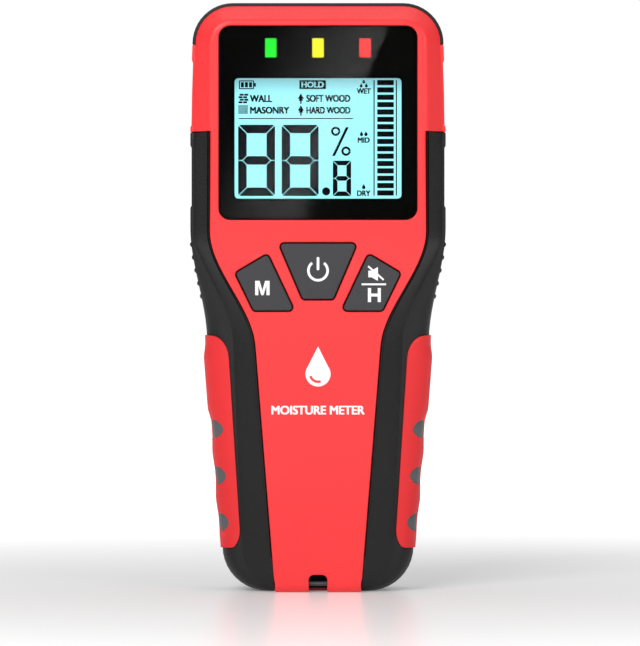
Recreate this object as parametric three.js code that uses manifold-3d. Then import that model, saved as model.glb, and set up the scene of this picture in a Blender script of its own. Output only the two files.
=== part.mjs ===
// A pinless moisture meter: a hand-held case with a display head, three keys, a waist,
// rubber side grips and a battery bay behind a hinged door. Millimetres. It stands on its foot:
// +Z runs up to the head, the display faces -Y, the sensing pad faces +Y, and the origin is
// at the middle of the foot.
import * as THREE from "three";
import { mergeVertices } from "three/addons/utils/BufferGeometryUtils.js";
import Module from "manifold-3d";

const wasm = await Module();
wasm.setup();

// ---------------------------------------------------------------- driving dimensions
// Case, seen from the front
const CASE_HEIGHT = 160;
const HEAD_WIDTH = 69.4;
const WAIST_WIDTH = 60.6;
const FOOT_WIDTH = 52.2;
const HEAD_LENGTH = 62; // from the top down to where the flanks start to close in
const WAIST_LENGTH = 31; // over which the flanks close in
const TOP_CORNER = 11;
const FOOT_CORNER = 12;
const LEAST_CORNER = 1.5; // of any inner form
const TOP_TAPER = 0.8; // how much narrower each flank is at the very top
const TAPER_START = 30; // above the head's lower end
// Raised face plate, seen from the front
const FACE_HEAD_WIDTH = 58.8;
const FACE_WAIST_WIDTH = 34.2;
const FACE_FOOT_WIDTH = 23.6;
const BEVEL_WAIST_WIDTH = 46.4;
const BEVEL_FOOT_WIDTH = 40.4;
const FACE_BEVEL = 5; // from the face plate's top edge to the case's
const FACE_FOOT_BEVEL = 3; // the same at the foot
const LEDGE = 0.9; // step between the bevel's foot and the flank, on the head
const FOOT_LEDGE = 0.3;
// Case, front to back
const FRONT = -16; // the head's face
const REAR = 15;
const PARTING = 3; // plane where the front and rear shells meet
const HANDLE_STEP = 2.5; // the handle's face lies this far behind the head's
const BEVEL_DEPTH = 6; // from the head's face to the bevel's foot
const HANDLE_BEVEL_DEPTH = 4.5;
const SHOULDER_DEPTH = 6; // from the handle's bevel foot to its flank
const REAR_ROUND = 4;
// Walls and gaps
const SKIN = 1.5; // soft overmoulded skins
const JOINT_GAP = 0.25; // between neighbouring mouldings
const FACE_WALL = 3.8; // behind the head's face
const HANDLE_WALL = 2.4; // behind the handle's face
const FLANK_WALL = 4.9; // front shell, soft skins included
const PLATE_WALL = 3.6; // front shell's wall at the bevel, seen from the front
const REAR_WALL = 2;
const END_WALL = 3.2;
const CONTACT_GAP = 0.05; // between flat parts that rest on each other
const LOOSE_GAP = 0.3; // between parts that drop into each other
// Soft parts on the flanks
const WING_TOP_DROP = 11.2; // the red wings on the head's flanks, measured from the top
const WING_BOTTOM_DROP = 35.1;
const PAD_PROUD = 0.55;
const PAD_TOP = 69.7;
const PAD_BOTTOM = 10.9;
const PAD_INNER_TOP = 24.6; // distance of the pad's inner edge from the middle, at each end
const PAD_INNER_BOTTOM = 20.9;
const PAD_CORNER_WIDE = 4.5; // the pad's inner corners, seen from the front
const PAD_CORNER_TALL = 6;
const PAD_WINDOW_HEIGHT = 4.8;
const PAD_WINDOW_LENGTH = 9;
const PAD_WINDOW_RIM = 2; // from the windows to the parting plane
const PAD_WINDOW_REACH = 3.3; // how far the windows come in from the flank
const PAD_WINDOW_PITCH = 12.7;
const PAD_WINDOW_LOWEST = 18.8;
const PAD_WINDOWS = 3;
const INSERT_THICK = 1.1;
const INSERT_SUNK = 0.3; // the insert's bumps below the case's surface
const RIB_COUNT = 5;
const RIB_START = 3.6; // the first rib below the head
const RIB_PITCH = 3.53;
const RIB_RADIUS = 0.75;
const RIB_PROUD = 0.4;
const SCOOP_DEPTH = 0.4; // shallow finger scoops in the flanks of the head
// Display window
const WINDOW_WIDTH = 53.4;
const WINDOW_HEIGHT = 52.2;
const WINDOW_CORNER = 3;
const WINDOW_THICK = 1.5;
const WINDOW_SUNK = 0.25;
const WINDOW_BELOW_TOP = 6.6;
const TAPE_THICK = 0.4;
const TAPE_WIDTH = 2;
const GLASS_WIDTH = 50;
const GLASS_HEIGHT = 37;
const GLASS_THICK = 2.4;
const GLASS_BELOW_TOP = 36.8; // its middle
const BACKLIGHT_THICK = 2.2;
const FRAME_WALL = 1.2;
const ZEBRA_HEIGHT = 2;
const LAMP_PITCH = 12.75;
const LAMP_WIDTH = 3.2;
const LAMP_HEIGHT = 5.4;
const LAMP_BELOW_TOP = 12.4;
const LED_THICK = 1.4;
const LED_WIDTH = 2.8;
const LED_HEIGHT = 3.5;
const SHIELD_MARGIN = 4; // beyond the outer lamps' middles
const SHIELD_HEIGHT = 7.4;
// Keys
const KEYS_BELOW_HEAD = 3.4;
const POWER_TOP_WIDTH = 21;
const POWER_BOTTOM_WIDTH = 8.2;
const POWER_HEIGHT = 15;
const SIDE_SWITCH_OUT = 14.8; // the outer keys' switches, from the middle and below the key row's top
const SIDE_SWITCH_DROP = 11;
const KEY_PROUD = 0.8;
const KEY_GAP = 0.35;
const KEY_TRAVEL = 0.5;
const KEY_STOP_GAP = 0.15; // left behind a key that is pressed right in
const KEY_FLANGE = 1.2;
const KEY_STEM_RADIUS = 2.4;
const FLANGE_THICK = 0.8;
const KEY_CORNER = 1.3;
const SWITCH_SIDE = 6;
const SWITCH_HEIGHT = 1.5;
const SWITCH_FLOOR = 0.45;
const PLUNGER_RADIUS = 1.7;
const PLUNGER_SUNK = 0.45; // into the switch, at rest
// Boards
const BOARD_THICK = 1.6;
const BOARD_FRONT = -5.5;
const BOARD_HALF_WIDTH = 27.4;
const BOARD_NECK_HALF_WIDTH = 19;
const BOARD_BELOW_TOP = 8.5;
const BOARD_FLARE_START = 8.5; // above the waist's lower end
const BOARD_FLARE_END = 4; // below the head
const BUZZER_RADIUS = 6;
const BUZZER_HEIGHT = 4.5;
const SENSOR_BOARD_WIDTH = 41;
const SENSOR_BOARD_HEIGHT = 40;
const SENSOR_BOARD_THICK = 1;
const ELECTRODE_THICK = 0.5;
const SENSOR_PAD_WIDTH = 50;
const SENSOR_PAD_HEIGHT = 46;
const SENSOR_PAD_CORNER = 7;
const SENSOR_PAD_PROUD = 1.5;
const SENSOR_PAD_SUNK = 0.8;
const SENSOR_BELOW_TOP = 33;
// Battery bay: a 9 V block
const BATTERY_WIDTH = 26.5;
const BATTERY_DEPTH = 17.5;
const BATTERY_LENGTH = 46.4;
const TERMINAL_PITCH = 12.7;
const TERMINAL_HEIGHT = 2.8;
const BAY_WALL = 1.2;
const BAY_FLOOR = 8; // height of the bay's underside
const BAY_ROOM = 0.75; // beside the battery
const CONTACT_ROOM = 8.4; // above the battery's case
// Battery door
const DOOR_THICK = 2.2;
const DOOR_OVERLAP = 1; // of the door past the bay's inside, on each side
const DOOR_GAP = 0.3;
const LEDGE_MARGIN = 1.5; // of the ledge behind the door's upper edge
const LEDGE_DEPTH = 3.2;
const PIVOT_RADIUS = 0.6;
const PIVOT_LENGTH = 1.3;
const PIVOT_GAP = 0.1;
const LATCH_WIDTH = 12;
const LATCH_LENGTH = 9.9;
const LATCH_THICK = 1.4;
// Screws
const SCREW_RADIUS = 1.25;
const SCREW_HEAD_RADIUS = 2.4;
const SCREW_RIM = 0.9; // wall left between a screw's recess and the door
const SCREW_HEAD_HEIGHT = 1.8;
const SCREW_SEAT = 3.5; // from the parting plane back to the heads
const SCREW_BITE = 7.5; // from the parting plane forward to the tips
const BOARD_SCREW_BITE = 4;
const HOLE_SPARE = 0.5; // depth left beyond a screw's tip
const BOSS_RADIUS = 3;
const UPPER_SCREW_OUT = 24.5;
const UPPER_SCREW_BELOW_TOP = 11;
const LOWER_SCREW_HEIGHT = 18;
const BOARD_SCREW_RADIUS = 0.9;
const BOARD_SCREW_HEAD_RADIUS = 1.9;
const BOARD_POST_RADIUS = 1.9;
// Strap notch in the foot
const NOTCH_WIDTH = 5;
const NOTCH_HEIGHT = 4.8;
const NOTCH_DEPTH = 9;
const NOTCH_CORNER = 1.4;
const STRAP_BAR_RADIUS = 0.9;

// ---------------------------------------------------------------- places worked out from them
const frontShellRear = PARTING - JOINT_GAP / 2;
const rearShellFront = PARTING + JOINT_GAP / 2;
const headBottom = CASE_HEIGHT - HEAD_LENGTH;
const waistBottom = headBottom - WAIST_LENGTH;
const wingTop = CASE_HEIGHT - WING_TOP_DROP;
const wingBottom = CASE_HEIGHT - WING_BOTTOM_DROP;
const boardRear = BOARD_FRONT + BOARD_THICK;
const boardTop = CASE_HEIGHT - BOARD_BELOW_TOP;
const doorInner = REAR - DOOR_THICK;
const bayInnerHalf = BATTERY_WIDTH / 2 + BAY_ROOM;
const bayOuterHalf = bayInnerHalf + BAY_WALL;
const doorHalf = bayInnerHalf + DOOR_OVERLAP;
const batteryRear = doorInner - BAY_WALL;
const batteryFront = batteryRear - BATTERY_DEPTH;
const batteryMiddle = (batteryFront + batteryRear) / 2;
const bayFront = batteryFront - LOOSE_GAP; // inner face of the bay's front wall
const batteryFoot = BAY_FLOOR + BAY_WALL + BAY_ROOM;
const batteryTop = batteryFoot + BATTERY_LENGTH;
const bayTop = batteryTop + CONTACT_ROOM; // inner face of the bay's ceiling
const boardBottom = bayTop + BAY_WALL + 0.6;
const doorTop = bayTop + BAY_WALL + 2;
const pivotHeight = BAY_FLOOR + BAY_WALL + DOOR_THICK / 2 + DOOR_GAP / 2;
const pivotDepth = REAR - DOOR_THICK / 2;
const windowTop = CASE_HEIGHT - WINDOW_BELOW_TOP;
const windowMiddle = windowTop - WINDOW_HEIGHT / 2;
const windowFront = FRONT + WINDOW_SUNK;
const windowRear = windowFront + WINDOW_THICK;
const ledgeFront = windowRear + TAPE_THICK + 2 * CONTACT_GAP;
const ledgeRear = FRONT + FACE_WALL;
const glassMiddle = CASE_HEIGHT - GLASS_BELOW_TOP;
const glassFront = ledgeRear + LOOSE_GAP;
const glassRear = glassFront + GLASS_THICK;
const frameRear = BOARD_FRONT - CONTACT_GAP;
const lampHeight = CASE_HEIGHT - LAMP_BELOW_TOP;
const ledFront = BOARD_FRONT - CONTACT_GAP - LED_THICK;
const sensorMiddle = CASE_HEIGHT - SENSOR_BELOW_TOP;
const rearInner = REAR - REAR_WALL;
const electrodeRear = rearInner - LOOSE_GAP;
const electrodeFront = electrodeRear - ELECTRODE_THICK;
const sensorBoardRear = electrodeFront - CONTACT_GAP;
const sensorBoardFront = sensorBoardRear - SENSOR_BOARD_THICK;
const switchFront = BOARD_FRONT - CONTACT_GAP - SWITCH_HEIGHT;
const keyRear = switchFront - KEY_TRAVEL - KEY_STOP_GAP;
const keyFlangeFront = FRONT + HANDLE_STEP + FACE_WALL + CONTACT_GAP;
const upperScrewHeight = CASE_HEIGHT - UPPER_SCREW_BELOW_TOP;
const lowerScrew = doorHalf + DOOR_GAP + SCREW_RIM + SCREW_HEAD_RADIUS + LOOSE_GAP;
const screwPlaces = [
  ["case_screw_upper_left", -UPPER_SCREW_OUT, upperScrewHeight],
  ["case_screw_upper_right", UPPER_SCREW_OUT, upperScrewHeight],
  ["case_screw_lower_left", -lowerScrew, LOWER_SCREW_HEIGHT],
  ["case_screw_lower_right", lowerScrew, LOWER_SCREW_HEIGHT],
];
const boardScrewPlaces = [
  ["board_screw_upper_left", -LAMP_PITCH / 2, lampHeight + 0.4],
  ["board_screw_upper_right", LAMP_PITCH / 2, lampHeight + 0.4],
  ["board_screw_lower_left", -24.6, headBottom + 0.4],
  ["board_screw_lower_right", 24.6, headBottom + 0.4],
];
const screwSeat = PARTING + SCREW_SEAT; // where the screw head sits in the rear shell
const screwTip = PARTING - SCREW_BITE;

// ---------------------------------------------------------------- solids
// A closed three.js geometry as a solid that can be joined and cut.
function solidOf(geometry) {
  const bare = geometry.clone();
  bare.deleteAttribute("normal");
  bare.deleteAttribute("uv");
  const merged = mergeVertices(bare, 1e-4);
  const positions = merged.attributes.position.array;
  return new wasm.Manifold(
    new wasm.Mesh({
      numProp: 3,
      vertProperties: new Float32Array(positions),
      triVerts: new Uint32Array(merged.index.array),
    }),
  );
}

function geometryOf(solid) {
  const mesh = solid.getMesh();
  const points = new Float32Array(mesh.numVert * 3);
  for (let i = 0; i < mesh.numVert; i += 1) {
    const start = i * mesh.numProp;
    points.set(mesh.vertProperties.subarray(start, start + 3), i * 3);
  }
  const geometry = new THREE.BufferGeometry();
  geometry.setAttribute("position", new THREE.BufferAttribute(points, 3));
  geometry.setIndex(new THREE.BufferAttribute(new Uint32Array(mesh.triVerts), 1));
  const flat = geometry.toNonIndexed();
  flat.computeVertexNormals();
  return flat;
}

function box(x0, x1, y0, y1, z0, z1) {
  const geometry = new THREE.BoxGeometry(x1 - x0, y1 - y0, z1 - z0);
  return solidOf(geometry.translate((x0 + x1) / 2, (y0 + y1) / 2, (z0 + z1) / 2));
}

// Round bars along each axis, from one end to the other.
function barY(x, z, radius, y0, y1, sides = 12) {
  const geometry = new THREE.CylinderGeometry(radius, radius, y1 - y0, sides);
  return solidOf(geometry.translate(x, (y0 + y1) / 2, z));
}

function barX(y, z, radius, x0, x1, sides = 12) {
  const geometry = new THREE.CylinderGeometry(radius, radius, x1 - x0, sides);
  return solidOf(geometry.rotateZ(Math.PI / 2).translate((x0 + x1) / 2, y, z));
}

function barZ(x, y, radius, z0, z1, sides = 12) {
  const geometry = new THREE.CylinderGeometry(radius, radius, z1 - z0, sides);
  return solidOf(geometry.rotateX(Math.PI / 2).translate(x, y, (z0 + z1) / 2));
}

// A front-view outline (x across, y of the shape as height) made solid between two depths.
function prism(shape, y0, y1, curveSegments = 4) {
  const geometry = new THREE.ExtrudeGeometry(shape, {
    depth: y1 - y0,
    bevelEnabled: false,
    curveSegments,
  });
  return solidOf(geometry.rotateX(Math.PI / 2).translate(0, y1, 0));
}

// A side-view outline (shape x as depth y, shape y as height) made solid between two x values.
function sidePrism(shape, x0, x1, curveSegments = 5) {
  const geometry = new THREE.ExtrudeGeometry(shape, {
    depth: x1 - x0,
    bevelEnabled: false,
    curveSegments,
  });
  const turn = new THREE.Matrix4().makeBasis(
    new THREE.Vector3(0, 1, 0),
    new THREE.Vector3(0, 0, 1),
    new THREE.Vector3(1, 0, 0),
  );
  return solidOf(geometry.applyMatrix4(turn).translate(x0, 0, 0));
}

function roundedRect(width, height, radius, cx = 0, cy = 0) {
  const [x0, x1, y0, y1] = [cx - width / 2, cx + width / 2, cy - height / 2, cy + height / 2];
  const shape = new THREE.Shape();
  shape.moveTo(x0 + radius, y0);
  shape.lineTo(x1 - radius, y0);
  shape.absarc(x1 - radius, y0 + radius, radius, -Math.PI / 2, 0);
  shape.lineTo(x1, y1 - radius);
  shape.absarc(x1 - radius, y1 - radius, radius, 0, Math.PI / 2);
  shape.lineTo(x0 + radius, y1);
  shape.absarc(x0 + radius, y1 - radius, radius, Math.PI / 2, Math.PI);
  shape.lineTo(x0, y0 + radius);
  shape.absarc(x0 + radius, y0 + radius, radius, Math.PI, Math.PI * 1.5);
  return shape;
}

// A polygon whose corners are moved out by `grow` and rounded, given anticlockwise.
function roundedPolygon(corners, radius, grow = 0) {
  const points = corners.map(([x, z]) => new THREE.Vector2(x, z));
  const count = points.length;
  const moved = points.map((point, i) => {
    const before = point.clone().sub(points[(i + count - 1) % count]).normalize();
    const after = points[(i + 1) % count].clone().sub(point).normalize();
    const outward = new THREE.Vector2(before.y + after.y, -before.x - after.x).normalize();
    const halfTurn = Math.cos(Math.abs(before.angleTo(after)) / 2);
    return point.clone().addScaledVector(outward, grow / halfTurn);
  });
  const shape = new THREE.Shape();
  moved.forEach((point, i) => {
    const toBefore = moved[(i + count - 1) % count].clone().sub(point).normalize();
    const toAfter = moved[(i + 1) % count].clone().sub(point).normalize();
    const reach = (radius + grow / 2) / Math.tan(toBefore.angleTo(toAfter) / 2);
    const start = point.clone().addScaledVector(toBefore, Math.abs(reach));
    const end = point.clone().addScaledVector(toAfter, Math.abs(reach));
    if (i === 0) shape.moveTo(start.x, start.y);
    else shape.lineTo(start.x, start.y);
    shape.quadraticCurveTo(point.x, point.y, end.x, end.y);
  });
  return shape;
}

const join = (...solids) => solids.reduce((sum, solid) => sum.add(solid));

// ---------------------------------------------------------------- the case's outer form
const mix = THREE.MathUtils.lerp;
const ease = (value, from, to) => THREE.MathUtils.smoothstep(value, from, to);

// Heights between which each outline widens from the handle to the head.
const flankFlare = [waistBottom + 1, headBottom + 1];
const bevelFlare = [waistBottom + 1, headBottom + 4];
const faceFlare = [waistBottom - 1, headBottom];
const depthFlare = [waistBottom - 1, headBottom + 1];

// Half widths against height: of the silhouette, the bevel's foot and the raised face.
function flankHalf(z) {
  const handle = mix(FOOT_WIDTH, WAIST_WIDTH, (z - FOOT_CORNER) / (waistBottom - FOOT_CORNER)) / 2;
  const head = HEAD_WIDTH / 2 - TOP_TAPER * ease(z, headBottom + TAPER_START, CASE_HEIGHT);
  return mix(Math.min(handle, WAIST_WIDTH / 2), head, ease(z, ...flankFlare));
}

function bevelHalf(z) {
  const handle = mix(BEVEL_FOOT_WIDTH, BEVEL_WAIST_WIDTH, z / waistBottom) / 2;
  const flared = mix(
    Math.min(handle, BEVEL_WAIST_WIDTH / 2),
    HEAD_WIDTH / 2,
    ease(z, ...bevelFlare),
  );
  return Math.min(flared, flankHalf(z) - LEDGE);
}

function faceHalf(z) {
  const handle = mix(FACE_FOOT_WIDTH, FACE_WAIST_WIDTH, z / waistBottom) / 2;
  return mix(
    Math.min(handle, FACE_WAIST_WIDTH / 2),
    FACE_HEAD_WIDTH / 2,
    ease(z, ...faceFlare),
  );
}

// Depths against height: of the face, the bevel's foot and the front edge of the flank.
const headShare = (z) => ease(z, ...depthFlare);
const faceDepth = (z) => FRONT + HANDLE_STEP * (1 - headShare(z));
const bevelDepth = (z) => faceDepth(z) + mix(HANDLE_BEVEL_DEPTH, BEVEL_DEPTH, headShare(z));
const flankDepth = (z) => bevelDepth(z) + mix(SHOULDER_DEPTH, LEDGE / 2, headShare(z));

// The outlines that the case passes through from its face to its back. Each says how far it
// is in from the case's edge at the head (top), the foot, and how its width and depth run.
function caseOutlines(steps) {
  const outlines = [
    { half: faceHalf, depth: faceDepth, top: FACE_BEVEL, foot: FACE_FOOT_BEVEL, side: "plate" },
    { half: bevelHalf, depth: bevelDepth, top: LEDGE, foot: FOOT_LEDGE, side: "plate" },
  ];
  for (let i = 1; i <= steps.shoulder; i += 1) {
    const turn = ((i / steps.shoulder) * Math.PI) / 2;
    const out = Math.sin(turn);
    const back = 1 - Math.cos(turn);
    outlines.push({
      half: (z) => mix(bevelHalf(z), flankHalf(z), out),
      depth: (z) => mix(bevelDepth(z), flankDepth(z), back),
      top: LEDGE * (1 - out),
      foot: 0,
      side: "flank",
    });
  }
  for (let i = 0; i <= steps.back; i += 1) {
    const turn = ((i / steps.back) * Math.PI) / 2;
    const inward = REAR_ROUND * (1 - Math.cos(turn));
    outlines.push({
      half: (z) => flankHalf(z) - inward,
      depth: () => REAR - REAR_ROUND * (1 - Math.sin(turn)),
      top: inward,
      foot: inward,
      side: "back",
    });
  }
  return outlines;
}

// The heights at which every outline has a point on its flanks.
const STATION_MARGIN = 5; // to the start of a corner or a flare

function flankHeights(steps) {
  const [low, high] = [FOOT_CORNER + STATION_MARGIN, waistBottom - STATION_MARGIN];
  const heights = [low, (low + high) / 2, high];
  for (let i = 0; i <= steps.flare; i += 1)
    heights.push(mix(waistBottom, headBottom + STATION_MARGIN, i / steps.flare));
  heights.push((headBottom + CASE_HEIGHT - TOP_CORNER) / 2, CASE_HEIGHT - TOP_CORNER - STATION_MARGIN);
  return heights;
}

// How finely round stretches are stepped: on surfaces that show, and on hidden inner ones.
const FINE = { corner: 4, shoulder: 3, back: 2, flare: 9 };
const COARSE = { corner: 3, shoulder: 2, back: 1, flare: 5 };

// The right-hand half of one outline, from the foot's middle flat to the top's, as [x, y, z].
function halfOutline(outline, inset, steps) {
  const bottom = outline.foot + inset.end;
  const top = CASE_HEIGHT - outline.top - inset.end;
  const half = (z) => outline.half(z) - (outline.side === "plate" ? inset.plate : inset.flank);
  const shift = outline.side === "back" ? -inset.rear : inset.face;
  const point = (x, z) => [x, outline.depth(z) + shift, z];
  const points = [];
  const footRadius = Math.max(FOOT_CORNER - outline.foot - inset.end, LEAST_CORNER);
  const footCentre = bottom + footRadius;
  for (let i = 0; i <= steps.corner; i += 1) {
    const turn = ((i / steps.corner - 1) * Math.PI) / 2;
    const x = half(footCentre) - footRadius + footRadius * Math.cos(turn);
    points.push(point(x, footCentre + footRadius * Math.sin(turn)));
  }
  flankHeights(steps).forEach((z) => points.push(point(half(z), z)));
  const topRadius = Math.max(TOP_CORNER - outline.top - inset.end, LEAST_CORNER);
  const topCentre = top - topRadius;
  for (let i = 0; i <= steps.corner; i += 1) {
    const turn = ((i / steps.corner) * Math.PI) / 2;
    const x = half(topCentre) - topRadius + topRadius * Math.cos(turn);
    points.push(point(x, topCentre + topRadius * Math.sin(turn)));
  }
  return points;
}

// The case's outer form as one solid, each surface moved in by its inset (out if negative).
function caseForm(insets = {}, steps = COARSE) {
  const { flank = 0, plate = flank, face = 0, rear = 0, end = 0 } = insets;
  const inset = { flank, plate, face, rear, end };
  const rings = caseOutlines(steps).map((outline) => {
    const right = halfOutline(outline, inset, steps);
    const left = right.map(([x, y, z]) => [-x, y, z]).reverse();
    return [...right, ...left];
  });
  const size = rings[0].length;
  const positions = rings.flat(2);
  const faces = [];
  const quad = (a, b, c, d) => faces.push(a, b, c, a, c, d);
  for (let ring = 0; ring + 1 < rings.length; ring += 1)
    for (let i = 0; i < size; i += 1) {
      const next = (i + 1) % size;
      const [front, back] = [ring * size, (ring + 1) * size];
      quad(front + i, back + i, back + next, front + next);
    }
  // Each end is closed by strips across the case, so that it follows the face's curve.
  const last = (rings.length - 1) * size;
  for (let i = 0; i + 1 < size / 2; i += 1) {
    const [right, left] = [i, size - 1 - i];
    quad(left, right, right + 1, left - 1);
    quad(last + right, last + left, last + left - 1, last + right + 1);
  }
  const geometry = new THREE.BufferGeometry();
  geometry.setAttribute("position", new THREE.Float32BufferAttribute(positions, 3));
  geometry.setIndex(faces);
  return solidOf(geometry);
}

const FAR = 200; // well outside the case
const outer = caseForm({}, FINE);
const skinInner = caseForm({ flank: SKIN, face: SKIN, rear: SKIN, end: SKIN });
const SEAT = SKIN + JOINT_GAP;
const skinSeat = caseForm({ flank: SEAT, face: SEAT, rear: SEAT, end: SEAT });
const beforeParting = box(-FAR, FAR, -FAR, frontShellRear, -FAR, FAR);
const behindParting = box(-FAR, FAR, rearShellFront, FAR, -FAR, FAR);

// ---------------------------------------------------------------- zones of the soft skins
// A zone ends at the parting plane, or runs past it where it is grown to cut a seat.
const zoneRear = (grow) => (grow > 0 ? FAR : frontShellRear);

// A right-hand solid, or its mirror image on the left.
const onSide = (solid, side) => (side > 0 ? solid : solid.mirror([1, 0, 0]));

// Side grip: outboard of the face plate, from the foot up to the wing.
function gripZone(grow, side) {
  const shape = new THREE.Shape();
  const top = wingBottom + grow;
  shape.moveTo(FAR, -10);
  shape.lineTo(FAR, top);
  const steps = 18;
  for (let i = 0; i <= steps; i += 1) {
    const z = mix(top, -10, i / steps);
    shape.lineTo(faceHalf(z) - grow, z);
  }
  return onSide(prism(shape, -FAR, zoneRear(grow)), side);
}

function padZone(grow, side) {
  const [bottom, top] = [PAD_BOTTOM - grow, PAD_TOP + grow];
  const shape = new THREE.Shape();
  const slope = (PAD_INNER_TOP - PAD_INNER_BOTTOM) / (PAD_TOP - PAD_BOTTOM);
  const inner = (z) => PAD_INNER_BOTTOM - grow + slope * (z - PAD_BOTTOM);
  shape.moveTo(FAR, bottom);
  shape.lineTo(inner(bottom) + PAD_CORNER_WIDE, bottom);
  shape.quadraticCurveTo(inner(bottom) + 0.4, bottom + 0.6,
    inner(PAD_BOTTOM + PAD_CORNER_TALL), PAD_BOTTOM + PAD_CORNER_TALL);
  shape.lineTo(inner(PAD_TOP - PAD_CORNER_TALL), PAD_TOP - PAD_CORNER_TALL);
  shape.quadraticCurveTo(inner(top), top - 1.5, inner(top) + PAD_CORNER_WIDE, top - 0.5);
  shape.lineTo(FAR, top);
  return onSide(prism(shape, -FAR, zoneRear(grow)), side);
}

function padWindows(grow, side) {
  const cutters = [];
  for (let i = 0; i < PAD_WINDOWS; i += 1) {
    const z = PAD_WINDOW_LOWEST + i * PAD_WINDOW_PITCH;
    const start = PARTING - PAD_WINDOW_RIM - PAD_WINDOW_LENGTH;
    const shape = roundedRect(
      PAD_WINDOW_LENGTH + 2 * grow,
      PAD_WINDOW_HEIGHT + 2 * grow,
      PAD_WINDOW_HEIGHT / 2 + grow - 0.01, // just short of a full half round
      start + PAD_WINDOW_LENGTH / 2,
      z,
    );
    cutters.push(sidePrism(shape, flankHalf(z) - PAD_WINDOW_REACH - grow, FAR, 4));
  }
  return onSide(join(...cutters), side);
}

const bumperZone = (grow) =>
  box(-FAR, FAR, bevelDepth(CASE_HEIGHT) + CONTACT_GAP - grow, zoneRear(grow), wingTop - grow, FAR);

// Shallow scoops in both flanks between two heights.
function scoops(z0, z1) {
  const middle = (z0 + z1) / 2;
  const shape = new THREE.Shape();
  const wall = flankHalf(middle) - SCOOP_DEPTH;
  shape.moveTo(wall + 2, z0 - 1);
  shape.lineTo(wall + 2, z1 + 1);
  shape.lineTo(wall + SCOOP_DEPTH, z1);
  shape.lineTo(wall, z1 - 0.6);
  shape.lineTo(wall, z0 + 0.6);
  shape.lineTo(wall + SCOOP_DEPTH, z0);
  const cut = prism(shape, bevelDepth(middle) - 1, PARTING);
  return cut.add(cut.mirror([1, 0, 0]));
}

const wingScoop = scoops(wingBottom + 1.2, wingTop - 4.2);
const gripScoop = scoops(headBottom + 6.5, wingBottom - 3.8);

// ---------------------------------------------------------------- keys
// Front-view corners of the keys, anticlockwise; the hold key mirrors the mode key.
const keyTop = headBottom - KEYS_BELOW_HEAD;
const powerCorners = [
  [-POWER_BOTTOM_WIDTH / 2, keyTop - POWER_HEIGHT],
  [POWER_BOTTOM_WIDTH / 2, keyTop - POWER_HEIGHT],
  [POWER_TOP_WIDTH / 2, keyTop],
  [-POWER_TOP_WIDTH / 2, keyTop],
];
const modeCorners = [
  [-17.4, keyTop - 18.1],
  [-6.5, keyTop - 18.1],
  [-13.7, keyTop - 2.9],
  [-22.3, keyTop - 8],
];
const holdCorners = modeCorners.map(([x, z]) => [-x, z]).reverse();

// Each key's outline and the place of its switch.
const keyDefinitions = [
  { name: "power", corners: powerCorners, x: 0, z: keyTop - POWER_HEIGHT / 2 },
  { name: "mode", corners: modeCorners, x: -SIDE_SWITCH_OUT, z: keyTop - SIDE_SWITCH_DROP },
  { name: "hold", corners: holdCorners, x: SIDE_SWITCH_OUT, z: keyTop - SIDE_SWITCH_DROP },
];

function keyCap(key) {
  const proud = caseForm({ face: -KEY_PROUD }, FINE);
  const shank = prism(roundedPolygon(key.corners, KEY_CORNER), -FAR, keyFlangeFront + 0.1)
    .intersect(proud); // reaches a little into the flange, so that the two join
  const outline = roundedPolygon(key.corners, KEY_CORNER, KEY_FLANGE);
  const flange = prism(outline, keyFlangeFront, keyFlangeFront + FLANGE_THICK);
  const stem = barY(key.x, key.z, KEY_STEM_RADIUS, keyFlangeFront, keyRear, 12);
  return join(shank, flange, stem);
}

function keySwitch(key) {
  const half = SWITCH_SIDE / 2;
  const body = box(key.x - half, key.x + half, switchFront, BOARD_FRONT - CONTACT_GAP,
    key.z - half, key.z + half);
  const bore = barY(key.x, key.z, PLUNGER_RADIUS + LOOSE_GAP, switchFront - 1,
    BOARD_FRONT - SWITCH_FLOOR);
  return body.subtract(bore);
}

const keyPlunger = (key) =>
  barY(key.x, key.z, PLUNGER_RADIUS, keyRear + CONTACT_GAP, switchFront + PLUNGER_SUNK);

// ---------------------------------------------------------------- front shell and its skins
function notchShape(grow) {
  const half = NOTCH_WIDTH / 2 + grow;
  const top = NOTCH_HEIGHT + grow;
  const shape = new THREE.Shape();
  shape.moveTo(-half, -5);
  shape.lineTo(half, -5);
  shape.lineTo(half, top - NOTCH_CORNER);
  shape.quadraticCurveTo(half, top, half - NOTCH_CORNER, top);
  shape.lineTo(-half + NOTCH_CORNER, top);
  shape.quadraticCurveTo(-half, top, -half, top - NOTCH_CORNER);
  return shape;
}

const notchFront = faceDepth(0);
const notchRear = notchFront + NOTCH_DEPTH;
const strapBarDepth = notchRear - 3;
const strapBarHeight = 2.4;

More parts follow.
